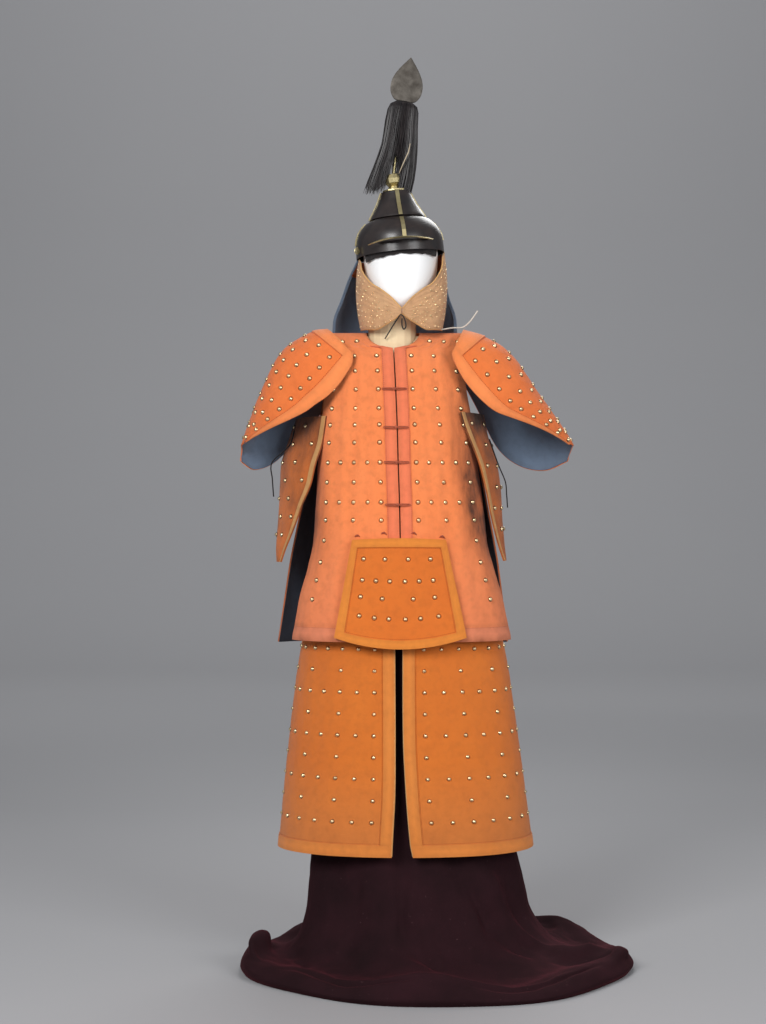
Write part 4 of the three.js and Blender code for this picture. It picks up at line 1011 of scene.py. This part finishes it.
for hand, word in HANDS:
    skirt = Surface(skirt_place(hand, word), skirt_relief(hand))
    top = (SKIRT_TOP - SKIRT_LOW) / (SKIRT_HIGH - SKIRT_LOW)
    panel(f"skirt_{word}", skirt, 120, 110, (SKIRT_WIDE, SKIRT_TALL), 4.5, "skirt", SKIRT_CLOTH,
          (0.78, 0.78), ["waistband"], part=(0, 1, 0, top), wear=skirt_wear)
    stud_field(f"skirt_{word}_studs", skirt, [(sided(u, hand), v) for u, v in skirt_spots()])
    hem, high = SKIRT_BORDER / SKIRT_TALL, (BORDER_TOP - SKIRT_LOW) / (SKIRT_HIGH - SKIRT_LOW)
    strip = (SKIRT_BORDER, 460)
    frame_band(f"skirt_{word}_border", skirt, "skirt_border", SKIRT_EDGE,
               [((0, 1, 0, hem), 120, 6, (SKIRT_WIDE, SKIRT_BORDER)),
                ((0, SKIRT_BAND, hem, high), 6, 70, strip),
                ((1 - SKIRT_BAND, 1, hem, high), 6, 70, strip)])
    edge = SKIRT_BAND + 0.004
    seam(f"skirt_{word}_stitches", skirt,
         [line((edge, hem + 0.004), (1 - edge, hem + 0.004), 120), line((edge, hem), (edge, high), 60),
          line((1 - edge, hem), (1 - edge, high), 60)], BROWN_THREAD, "skirt")
    for side, u in zip(("front", "back"), (0.001, 0.999) if hand > 0 else (0.999, 0.001)):
        binding(f"skirt_{word}_{side}_binding", skirt, line((u, 0.004), (u, high), 90), 2.2,
                "skirt_border", CREAM_BINDING)

# The shoulder guards

table("guard_left", "at fx fy fz rx rz bx by bz",
      (0, -107, -100, 1412, -169, 1475.2, -112, 104, 1404),
      (1, -109, -104, 1390, -204, 1470, -125, 110, 1378),
      (2, -122, -106, 1366, -240, 1452, -145, 113, 1345),
      (3, -141, -106, 1339, -270, 1431, -172, 113, 1305),
      (4, -165, -104, 1315, -289, 1406, -205, 109, 1262),
      (5, -190, -100, 1298, -304, 1376, -240, 103, 1222),
      (6, -219, -94, 1278, -319, 1343, -272, 95, 1190),
      (7, -255, -84, 1261, -333, 1310, -300, 84, 1165),
      (8, -292, -70, 1245, -346, 1276, -326, 70, 1152),
      (9, -328, -50, 1228, -359, 1242, -350, 55, 1150),
      (10, -357, -26, 1214, -372, 1203, -375, 38, 1168))
table("guard_right", "at fx fy fz rx rz bx by bz",
      (0, 121, -100, 1414, 151, 1473.8, 118, 104, 1408),
      (1, 127, -104, 1393, 202, 1459, 138, 111, 1385),
      (2, 145, -106, 1358, 243, 1437, 160, 114, 1350),
      (3, 169, -106, 1326, 275, 1405, 183, 115, 1308),
      (4, 197, -104, 1298, 303, 1366, 205, 112, 1264),
      (5, 223, -100, 1279, 327, 1330, 224, 108, 1224),
      (6, 253, -92, 1268, 346, 1303, 245, 100, 1192),
      (7, 292, -80, 1255, 363, 1278, 275, 91, 1166),
      (8, 330, -64, 1241, 381, 1253, 312, 78, 1150),
      (9, 363, -45, 1226, 397, 1229, 355, 60, 1148),
      (10, 396, -20, 1208, 411, 1204, 400, 38, 1168))
GUARD_ACROSS = [-1, -0.86, -0.65, -0.43, -0.21, 0, 0.21, 0.43, 0.65, 0.86, 1]
GUARD_BEND = 0.48 * math.pi
GUARD_SPAN, GUARD_BAND, GUARD_ROWS = 330, 0.07, 10


def guard_place(hand, word):
    name = f"guard_{word}"

    def place(u, v):
        at = round(sided(u, hand) * GUARD_ROWS, 3)
        w = 2 * v - 1
        bend = abs(w) * GUARD_BEND
        out = math.sin(bend) / math.sin(GUARD_BEND)
        down = (1 - math.cos(bend)) / (1 - math.cos(GUARD_BEND))
        side = "f" if w < 0 else "b"
        return Vector((mix(along(name, at, "rx"), along(name, at, side + "x"), down),
                       along(name, at, side + "y") * out,
                       mix(along(name, at, "rz"), along(name, at, side + "z"), down)))
    return place


def guard_spots(hand):
    spots = []
    for j in range(1, 9):
        v = (GUARD_ACROSS[j] + GUARD_ACROSS[j + 1]) / 4 + 0.5
        for i in range(9):
            t = (i + (0.5 if j % 2 == 0 else 0.75) + 1) / GUARD_ROWS
            if t < 0.97:
                spots.append((sided(t, hand), v))
    return spots


for hand, word in HANDS:
    spots = guard_spots(hand)

    def guard_relief(u, v, spots=spots, hand=hand):
        studs = [(a * GUARD_SPAN, b * GUARD_SPAN) for a, b in spots]
        return (dimpled(studs, u * GUARD_SPAN, v * GUARD_SPAN, reach=16)
                + 1.6 * wander(u * 5, v * 5, 70 + hand) + 0.8 * wander(u * 17, v * 17, 75 + hand))

    name = f"shoulder_guard_{word}"
    guard = Surface(guard_place(hand, word), guard_relief)
    span = (GUARD_SPAN, GUARD_SPAN)
    panel(name, guard, 80, 80, span, 3.4, "guard", GUARD, (0.38, 0.36), [f"coat_front_{word}"])
    panel(name + "_lining", guard, 60, 60, span, 1.4, "lining", BLUE, (0.38, 0.36), [name], nodes=(),
          lift=-3.6, even=False)
    stud_field(name + "_studs", guard, spots)
    near = (0, 0.1) if hand > 0 else (0.9, 1)
    frame_band(name + "_border", guard, "guard_border", GUARD_EDGE,
               [((0, 1, 0, GUARD_BAND), 80, 6, (300, 30)),
                ((0, 1, 1 - GUARD_BAND, 1), 80, 6, (300, 30)),
                ((*near, GUARD_BAND, 1 - GUARD_BAND), 8, 70, (33, 300))], lift=2.6)
    edge, inner = (0.001, 0.105) if hand > 0 else (0.999, 0.895)
    seam(name + "_stitches", guard,
         [line((0, 0.075), (1, 0.075), 60), line((0, 0.925), (1, 0.925), 60),
          line((inner, 0.075), (inner, 0.925), 60)], THREAD, "guard")
    binding(name + "_neck_binding", guard, line((edge, 0.12), (edge, 0.88), 60), 1.9,
            "guard_border", CREAM_BINDING, lift=0.0)
    rims = [line((0.01, v), (0.99, v), 60) for v in (0.001, 0.999)]
    for side, rim in zip(("front", "back"), rims):
        binding(f"{name}_{side}_binding", guard, rim, 1.5, "guard_border", GUARD_EDGE, lift=0.0)

# The armpit guards

table("armpit_left", "at ix iy ox oy out",
      (931, -277, -34, -287, -10, 2), (962, -266, -48, -289, 5, 5), (1008, -246, -60, -287, 24, 9),
      (1061, -227, -70, -284, 38, 12), (1115, -205, -78, -282, 48, 14),
      (1161, -194, -80, -280, 55, 14), (1203, -180, -71, -268, 60, 14),
      (1240, -174, -73, -255, 62, 13), (1270, -170, -74, -244, 60, 12))
table("armpit_right", "at ix iy ox oy out",
      (934, 246, -34, 251, -10, 2), (980, 230, -50, 248, 12, 5), (1038, 215, -64, 243, 30, 8),
      (1096, 203, -76, 241, 42, 10), (1161, 186, -86, 234, 52, 12), (1219, 163, -94, 215, 58, 12),
      (1250, 151, -96, 208, 60, 12), (1278, 143, -100, 203, 58, 10))


ARMPIT_ACROSS = [0, 0.07, 0.3, 0.53, 0.76, 1]


def armpit_place(hand, word):
    name = f"armpit_{word}"
    low, high = TABLES[name][0]["at"], TABLES[name][-1]["at"]

    def place(u, v):
        at = round(mix(low, high, v), 2)
        s = sided(u, hand)
        bulge = along(name, at, "out") * 4 * s * (1 - s)
        return Vector((mix(along(name, at, "ix"), along(name, at, "ox"), s) + hand * bulge,
                       mix(along(name, at, "iy"), along(name, at, "oy"), s) - bulge * 0.3, at))
    return place


# Dirt all over, and painted shade towards the top, under the shoulder guard
def armpit_wear(u, v, p):
    return 0.35 + 0.5 * wander(p.x * 0.02, p.z * 0.02, 3) + 0.5 * ramp(v, 0.6, 1)


# Painted shade towards the top, under the shoulder guard, and patches of soot
def armpit_soot(u, v, p):
    return 0.8 * ramp(v, 0.75, 1) + 0.5 * max(wander(p.x * 0.05, p.z * 0.02, 6), 0)


for hand, word in HANDS:
    guard = Surface(armpit_place(hand, word),
                    lambda u, v, hand=hand: 1.2 * wander(u * 3, v * 7, 90 + hand))
    name = f"armpit_guard_{word}"
    panel(name, guard, 40, 90, (120, 340), 4.0, "armpit", ARMPIT, (0.15, 0.37),
          [f"coat_front_{word}"], wear=armpit_wear, soot=armpit_soot)
    part = (0, 0.07, 0, 1) if hand > 0 else (0.93, 1, 0, 1)
    panel(name + "_piping", guard, 5, 90, (9, 340), TAPE_WALL, "piping", TAN_BINDING, (0.013, 0.37),
          [name], lift=TAPE_LIFT, part=part)
    spots = []
    last = len(TABLES[f"armpit_{word}"]) - 1
    for j in range(1, last):
        for i in range(1 + j % 2, 5, 2):
            s = (ARMPIT_ACROSS[i] + ARMPIT_ACROSS[i + 1]) / 2
            spots.append((sided(s, hand), (j + 0.5) / last))
    stud_field(name + "_studs", guard, spots)

# The closures: a thin doubled loop from each side and a small knot between them

CLOSURE_LOOP = [(29, 0.3, 0.7), (27, 1.5, 1.2), (18, 1.9, 1.2), (8, 1.8, 1.2), (2.5, 1.0, 1.3)]
CLOSURE_KNOT = [(-4.6, -0.5, 1.4), (-3.2, -0.3, 3.0), (0, 0, 4.0), (3.2, 0.3, 3.0), (4.6, 0.5, 1.4)]
for name, x, z, out in (("button_1", -12, 1330, 7.2), ("button_2", -8, 1241, 8),
                        ("button_3", -7, 1161, 8.2), ("button_4", -4, 1064, 8.1)):
    y = -coat_depth(abs(x), z, "front") - SEAM_HALF - out
    droop = 1.2 * wander(z, 3.0)
    paths = [[(x + side * across, y + 3 * (across / 29) ** 2, z + strand * up + droop * across / 29,
               radius) for across, up, radius in CLOSURE_LOOP]
             for side in (-1, 1) for strand in (-1, 1)]
    paths.append([(x + across, y - 1.5, z + up, radius) for across, up, radius in CLOSURE_KNOT])
    strands(name + "_knot", paths, "knot", KNOT, name)

# Knots of thread above the apron, where it is tied to the coat

APRON_KNOT = [(-6, -1, -3, 0.8), (-3, -3, 0, 1.9), (1, -3.4, 1, 2.3), (4, -2.6, -1, 1.6),
              (7, -0.6, -5, 0.7)]
knots = []
for x, z in ((-96, 994), (-36, 1000), (32, 1000), (97, 992)):
    y = -coat_depth(abs(x - along("coat", z, "lean")), z, "front") - SEAM_HALF
    knots.append([(x + across, y + out, z + up, radius) for across, out, up, radius in APRON_KNOT])
strands("apron_thread_knots", knots, "knot", KNOT)

# The helmet

RIM_SLOPE, BOWL_AT = 0.082, 1687
HELMET = (Matrix.Translation((0, 0, BOWL_AT)) @ Matrix.Rotation(-RIM_SLOPE, 4, "Y")
          @ Matrix.Rotation(0.1, 4, "Z"))
DEEPER = Matrix.Diagonal((1, 1.1, 1, 1))
LOWER_BOWL = [(103.5, -38), (102.5, -8), (99.5, 8), (94, 20), (85, 32), (75, 41), (62, 47)]
UPPER_BOWL = [(66, 48.4), (63.5, 54), (56, 66), (48, 80), (41, 94), (36, 106), (33, 112),
              (20, 113.4)]
for name, profile in (("helmet_lower", LOWER_BOWL), ("helmet_upper", UPPER_BOWL)):
    piece = turned(name + "_shell", eased(profile, 4), 72, capped=False)
    piece = placed(piece, HELMET @ DEEPER)
    finish_with(piece, "SOLIDIFY", thickness=3 * MM, offset=-1)
    keep(piece, "lacquer", LACQUER, name)
finish_nodes(LACQUER, "visor")
finish_nodes(BRASS, "knop", "plume_tube",
             *(f"rib_{tier}_{side}" for tier in ("lower", "upper")
               for side in ("front", "right", "back", "left")))
VISOR_ARC = [(-72, -104, 1661, 1.0), (-58, -116, 1665, 1.7), (-42, -123, 1669.5, 2.0),
             (-24, -128.5, 1673, 2.1), (-6, -131, 1675, 2.1), (12, -131.5, 1676.5, 2.1),
             (30, -129.5, 1677, 2.1), (48, -124.5, 1676.5, 2.0), (64, -116, 1675.5, 1.7),
             (78, -104, 1674.5, 1.0)]
strands("visor_edge", [eased(VISOR_ARC, 4)], "brass", BRASS, "visor_rim")
ornament = [[(-98 + 5 * math.cos(a), -46 + 2 * math.cos(a), 1655 + 7 * math.sin(a), 1.5)
             for a in (k * math.pi / 6 + turn for k in range(13))] for turn in (0.0, 0.5)]
ornament.append([(-97, -50, 1646, 1.4), (-98, -50, 1655, 3.0), (-97, -50, 1664, 1.4)])
strands("helmet_ornament", ornament, "brass", BRASS)


def brow_place(u, v):
    a = mix(-2.62, -0.52, u)
    ragged = 3.5 * wander(u * 9, 2.0) + 2.0 * wander(u * 23, 4.0)
    low = 1634 + 7 * math.sin(math.pi * u) + ragged + RIM_SLOPE * 100 * math.cos(a)
    return Vector((4 + mix(94, 99, v) * math.cos(a), mix(103, 108, v) * math.sin(a),
                   mix(low, 1668, v)))


panel("brow_pad", Surface(brow_place, lambda u, v: 1.2 * wander(u * 14, v * 3)), 60, 10,
      (200, 34), 2.5, "lining", BLACK_PAD, (0.21, 0.034), ["helmet_lower"], nodes=())

# The plume and the spearhead, which lean a little from the helmet's own axis

PLUME = HELMET @ Matrix.Translation((0, 0, 155.4)) @ Matrix.Rotation(0.232, 4, "Y")
LEAF = [(172, 0, 0, 16, 5), (175, 0, 0, 25, 5), (183, 0, 0, 32, 4.6), (193, 0, 0, 36.5, 4.4),
        (205, 0, 0, 38, 4.2), (219, 0, 0, 36.8, 4.2), (234, 0, 0, 31.5, 4), (251, 0, 0, 21.5, 3.2),
        (267, 0, 0, 9.5, 2), (278, 0, 0, 1, 0.8)]
piece = placed(extruded_rows("spearhead_leaf", eased(LEAF, 4), 40, power=1.45), PLUME)
keep(piece, "steel", STEEL, "spearhead", angle=60)

HAIR_COUNT, HAIR_SPREAD, HEAD_TOP = 900, 36, 172
GOLDEN_TURN = 2.39996


def hair_path(n):
    """One hair from the disc's top, over its edge and down, with its own length and bend."""
    a = n * GOLDEN_TURN
    root = (HAIR_SPREAD - 2) * math.sqrt((n + 0.5) / HAIR_COUNT) + 2
    c, s = math.cos(a), math.sin(a)
    own = wander(n * 1.7, 0.5)
    side = ramp(abs(c), 0.15, 0.55)
    spread = root / HAIR_SPREAD
    length = mix(112, 222 if c > 0 else 196, side) * (1 + 0.12 * own) - 16 * (1 - spread)
    flare = side * (12 if c > 0 else 16) * (0.6 + 0.6 * spread + 0.35 * own) + 4
    path = [(2.5 * c, 2.5 * s, HEAD_TOP, 0.9)]
    for share, drop, more in ((0.6, 1, 2), (0.88, 3, 7), (1, 8, 14)):
        path.append((root * share * c, root * share * s, HEAD_TOP - drop - more * spread ** 2, 1.2))
    for k in range(1, 8):
        t = k / 7
        away = root * (1 + 0.05 * math.sin(3 * t)) + flare * ramp(t, 0.35, 1.15) * 1.2
        if c > 0:
            away += side * (9 * bump(t, 0.45, 0.45) - 16 * ramp(t, 0.65, 1.2))
        sway = 2.5 * wander(n * 0.9, t * 2.5)
        path.append((away * c + sway, root * s * (1 - 0.25 * t) + sway, HEAD_TOP - 22 - length * t,
                     mix(1.25, 0.35, t * t)))
    return [(*(PLUME @ Vector(p[:3])), p[3]) for p in path]


strands("plume_hair", [hair_path(n) for n in range(HAIR_COUNT)], "horsehair", HAIR, "plume")
QUILL_PATH = [(26, -30, 1908, 0.8), (22, -33, 1888, 1.5), (11, -32, 1864, 1.5), (2, -27, 1844, 1.2),
              (0, -22, 1839, 0.8)]
strands("plume_quill", [QUILL_PATH], "horsehair", QUILL)

# The cheek guards and the neck guard

table("cheek", "at y lx lz ux uz out",
      (0, 6, 96, 1474, 101, 1648.4, 9), (1, -38, 90, 1472, 97, 1637, 8),
      (2, -62, 77, 1471, 93, 1609, 3), (3, -80, 57, 1470, 73, 1578, 0),
      (4, -92, 37, 1480, 50, 1562, 0), (5, -100, 17, 1492, 24, 1541, 0),
      (6, -104, 1.2, 1504, 1.2, 1516, 0))


def cheek_place(hand):
    def place(u, v):
        at = round(sided(u, -hand) * 6, 3)
        out = along("cheek", at, "out")
        x = 6 + hand * (mix(along("cheek", at, "lx"), along("cheek", at, "ux"), v)
                        + out * 4 * v * (1 - v))
        return Vector((x, along("cheek", at, "y"),
                       mix(along("cheek", at, "lz"), along("cheek", at, "uz"), v)
                       + RIM_SLOPE * x * v * out / 9))
    return place


def cheek_relief(u, v):
    rows = 0.35 * math.cos(v * 44 + 2 * wander(u * 3, v * 2))
    return (rows + 0.6 * wander(u * 9, v * 9, 4.0)) * ramp(min(u, 1 - u, v, 1 - v), 0.02, 0.1)


def nail_pattern():
    """A small round-headed nail."""
    rows = [(2.1, -0.4), (2.0, 0.5), (1.5, 1.3), (0.7, 1.8), (0.2, 1.9)]
    return as_pattern(turned("nail_pattern", rows, 7))


NAIL = nail_pattern()
NAIL_ROWS, NAIL_COLUMNS = 12, 11


def cheek_nails(cheek, hand):
    """Nails at uneven spots, up to a line that falls toward the chin, with some left out."""
    nails = []
    for j in range(NAIL_ROWS):
        for i in range(NAIL_COLUMNS):
            u = (i + 0.5 + 0.5 * (j % 2) + 0.35 * wander(i * 3.1, j * 5.3)) / 11.5
            v = (j + 0.6 + 0.35 * wander(i * 4.7, j * 2.9, 8.0)) / 12.2
            far = sided(u, -hand)
            top = mix(0.95, 0.6, ramp(far, 0.45, 0.75))
            if 0.04 < far < 0.8 and v < top and wander(i, j * 1.3) > -0.25:
                nails.append(standing(cheek.at(u, v), cheek.normal(u, v), i + j,
                                      1.35 if (i + 3 * j) % 7 == 0 else 0.9))
    return nails


for hand, word in HANDS:
    cheek = Surface(cheek_place(hand), cheek_relief)
    name = f"cheek_guard_{word}"
    keep(joined(name + "_nails", NAIL, cheek_nails(cheek, hand)), "brass", STUD_BRASS, angle=50)
    panel(name, cheek, 50, 50, (150, 150), 3.0, "cheek", CHEEK_CLOTH, (0.15, 0.16),
          ["helmet_lower"], area=0.0195,
          wear=lambda u, v, p: 0.5 * max(wander(p.x * 0.06, p.z * 0.06, 2.0), 0))
    for side, v, material in (("rim", 0.998, CREAM_BINDING), ("foot", 0.002, TAN_BINDING)):
        binding(f"{name}_{side}", cheek, [(k / 40, v) for k in range(41)], 1.9, "cheek", material,
                lift=-1.0)

table("neck", "at cx a b", (1468, -10, 148, 125), (1507, -10, 145, 122), (1550, -10, 129, 118),
      (1610, -5, 113, 113), (1647, 3, 103, 113))
NECK_LOW, NECK_HIGH, NECK_START = 1468.9, 1648, 0.14


def neck_place(u, v):
    z = round(mix(NECK_LOW, NECK_HIGH, v), 2)
    t = mix(NECK_START, math.pi - NECK_START, u)
    x = along("neck", z, "cx") + along("neck", z, "a") * math.cos(t)
    return Vector((x, along("neck", z, "b") * math.sin(t), z + RIM_SLOPE * x * v))


NECK = Surface(neck_place)
panel("neck_guard", NECK, 70, 40, (400, 180), 4.0, "guard", GUARD, (0.44, 0.20), ["helmet_lower"])
panel("neck_guard_lining", NECK, 70, 40, (400, 145), 1.5, "lining", BLUE, (0.44, 0.16),
      ["neck_guard"], lift=-4.5, part=(0, 1, 0, 0.8))
for word, u in (("left", 1), ("right", 0)):
    binding(f"neck_guard_edge_{word}", NECK, [(u, n / 12) for n in range(13)], 2.7, "lining", BLUE,
            lift=-2)
finish_nodes(PIPING, "neck_guard_piping")

# The form and the stand

finish_nodes(COVER, "form_torso", "form_neck")
finish_nodes(STAND, "stand_base", "stand_pole")
finish_nodes(DARK_BLUE, "waistband")
HEAD = [(1508.4, 4, -12, 34, 36), (1516, 4, -15, 50, 56), (1540, 4, -14, 67, 76),
        (1580, 4, -8, 79, 89), (1624, 4, -2, 86, 97), (1665, 4, 0, 86, 98), (1698, 4, 1, 74, 84),
        (1717, 4, 2, 50, 57), (1725, 4, 2, 22, 26)]
piece = placed(extruded_rows("blank_head", eased(HEAD, 4), 48))
keep(piece, "head", BLANK, "form_head")

# The velvet over the stand

table("velvet", "at z cx cy a b fold lump",
      (0, 0, 85, -75, 440, 396, 9, 0), (1, 15, 85, -75, 448, 404, 9, 4),
      (2, 38, 84, -74, 430, 386, 8, 14), (3, 44, 82, -72, 405, 362, 7, 18),
      (4, 34, 76, -60, 366, 324, 6, 12), (5, 40, 68, -46, 328, 288, 8, 10),
      (6, 66, 55, -28, 288, 252, 10, 6), (7, 124, 44, -14, 257, 214, 11, 0),
      (8, 200, 38, -6, 245, 184, 9, 0), (9, 262, 34, 0, 236, 166, 6, 0),
      (10, 400, 20, 0, 211, 148, 5, 0), (11, 600, 10, 0, 184, 130, 4, 0),
      (12, 900, 3, 0, 161, 111, 1, 0))
VELVET_ROWS = 12


def velvet_place(u, v):
    at = round(VELVET_ROWS * v, 3)
    t = 2 * math.pi * u
    wave = 0.6 * math.cos(7 * t + 0.9) + 0.4 * math.cos(4 * t - 1.1)
    heap = 0.6 * math.cos(5 * t + 2.2) + 0.4 * math.cos(8 * t + 0.4)
    out = along("velvet", at, "fold") * wave
    return Vector((along("velvet", at, "cx") + (along("velvet", at, "a") + out) * math.cos(t),
                   along("velvet", at, "cy") + (along("velvet", at, "b") + out) * math.sin(t),
                   max(along("velvet", at, "z") + along("velvet", at, "lump") * heap, 0)))


# Ridges and troughs, each from u, at to u, at, with a half width in degrees and a height
FOLDS = [(0.735, 9.2, 0.725, 7.0, 4, -10), (0.725, 7.0, 0.755, 5.2, 5, -12),
         (0.745, 8.6, 0.765, 5.6, 6, 4), (0.80, 9.3, 0.845, 7.2, 5, -11),
         (0.845, 7.2, 0.885, 5.6, 5, -13), (0.86, 8.2, 0.93, 5.6, 7, 16),
         (0.925, 5.2, 0.97, 3.6, 7, 26), (0.905, 4.4, 0.955, 3.0, 5, -12),
         (0.955, 2.6, 0.975, 1.8, 6, 14), (0.50, 3.4, 0.545, 2.3, 7, 30),
         (0.53, 1.7, 0.57, 1.2, 5, 9), (0.555, 5.4, 0.60, 4.4, 5, -9),
         (0.60, 3.6, 0.70, 2.9, 5, 6), (0.62, 2.9, 0.72, 2.3, 4, -7),
         (0.72, 2.9, 0.85, 2.5, 5, 6), (0.78, 2.3, 0.9, 2.2, 4, -6),
         (0.66, 8.0, 0.64, 5.2, 6, -5), (0.18, 8.6, 0.14, 5.4, 6, -7),
         (0.3, 8.8, 0.33, 5.0, 6, 8), (0.42, 8.4, 0.40, 4.6, 6, -7), (0.05, 5.4, 0.1, 3.6, 6, 10),
         (0.22, 3.8, 0.34, 2.9, 5, 7)]


# A row of the table counts as this many degrees when a fold's width is measured
FOLD_STRETCH = 12


def fold_height(u, at):
    total = 0.0
    for u0, at0, u1, at1, half, height in FOLDS:
        across, down = (u1 - u0) * 360, (at1 - at0) * FOLD_STRETCH
        px, py = (u - u0) * 360, (at - at0) * FOLD_STRETCH
        t = (px * across + py * down) / (across * across + down * down)
        if -0.25 < t < 1.25:
            width = half * (0.8 + 0.4 * math.sin(5 * t))
            away = math.hypot(px - t * across, py - t * down) / width
            if away < 2.6:
                total += height * math.exp(-away * away) * ramp(t, -0.25, 0.2) * ramp(t, 1.25, 0.8)
    return total


def velvet_relief(u, v):
    c, s = math.cos(2 * math.pi * u), math.sin(2 * math.pi * u)
    small = 3.0 * wander(c * 5, s * 5, v * 7) + 2.0 * wander(c * 13, s * 13, v * 20)
    return (small + fold_height(u, VELVET_ROWS * v)) * ramp(v, 0.02, 0.2)


piece = sheet("velvet_drape", Surface(velvet_place, velvet_relief), 240, 150, (2600, 1300), 3.0)
alone(piece)
bpy.ops.object.mode_set(mode="EDIT")
bpy.ops.mesh.select_all(action="SELECT")
bpy.ops.mesh.remove_doubles(threshold=0.0001)
bpy.ops.object.mode_set(mode="OBJECT")
keep(piece, "velvet", VELVET, "velvet_cover", angle=70)


# Floor and light

SWEEP_FRONT, SWEEP_BACK, SWEEP_SIDE = -14, 26, 22


def studio():
    """A pale paper sweep: the floor, a wide curve and the wall in one."""
    alone()
    bpy.ops.mesh.primitive_grid_add(x_subdivisions=2, y_subdivisions=60, size=2)
    floor = bpy.context.object
    floor.name = "floor"
    bend, radius = 8.5, 3.5
    for vertex in floor.data.vertices:
        run = mix(SWEEP_FRONT, SWEEP_BACK, (vertex.co.y + 1) / 2) - bend
        turn = min(max(run / radius, 0), math.pi / 2)
        rise = max(run - radius * math.pi / 2, 0)
        vertex.co = (vertex.co.x * SWEEP_SIDE, bend + min(run, 0) + radius * math.sin(turn),
                     radius * (1 - math.cos(turn)) + rise)
    alone(floor)
    bpy.ops.object.shade_smooth()
    paper = Finish("paper", Roughness=0.9)
    cloud = paper.noise(paper.where.outputs["Object"], 0.6, 2.0)
    floor.data.materials.append(paper.done(
        paper.blend(paper.between(cloud, 0.0, 0.3), tint(166, 166, 168), tint(162, 162, 165))))
    world = bpy.data.worlds.new("room")
    world.use_nodes = True
    air = world.node_tree.nodes["Background"].inputs
    air["Color"].default_value = tint(190, 192, 196)
    air["Strength"].default_value = 0.55
    bpy.context.scene.world = world
    middle, wall = Vector((0, 0, 1.1)), Vector((0, 13, 2.6))
    for name, spot, target, size, power in (("key", (-2.0, -3.8, 3.0), middle, 1.8, 150),
                                            ("fill", (2.6, -3.6, 2.2), middle, 2.2, 90),
                                            ("back", (0.6, 2.6, 3.4), middle, 2.0, 55),
                                            ("wall", (0, 6.0, 6.5), wall, 8.0, 260)):
        data = bpy.data.lights.new(name, "AREA")
        data.size = size
        data.energy = power
        lamp = bpy.data.objects.new(name, data)
        lamp.location = spot
        lamp.rotation_euler = (target - Vector(spot)).to_track_quat("-Z", "Y").to_euler()
        bpy.context.collection.objects.link(lamp)


studio()
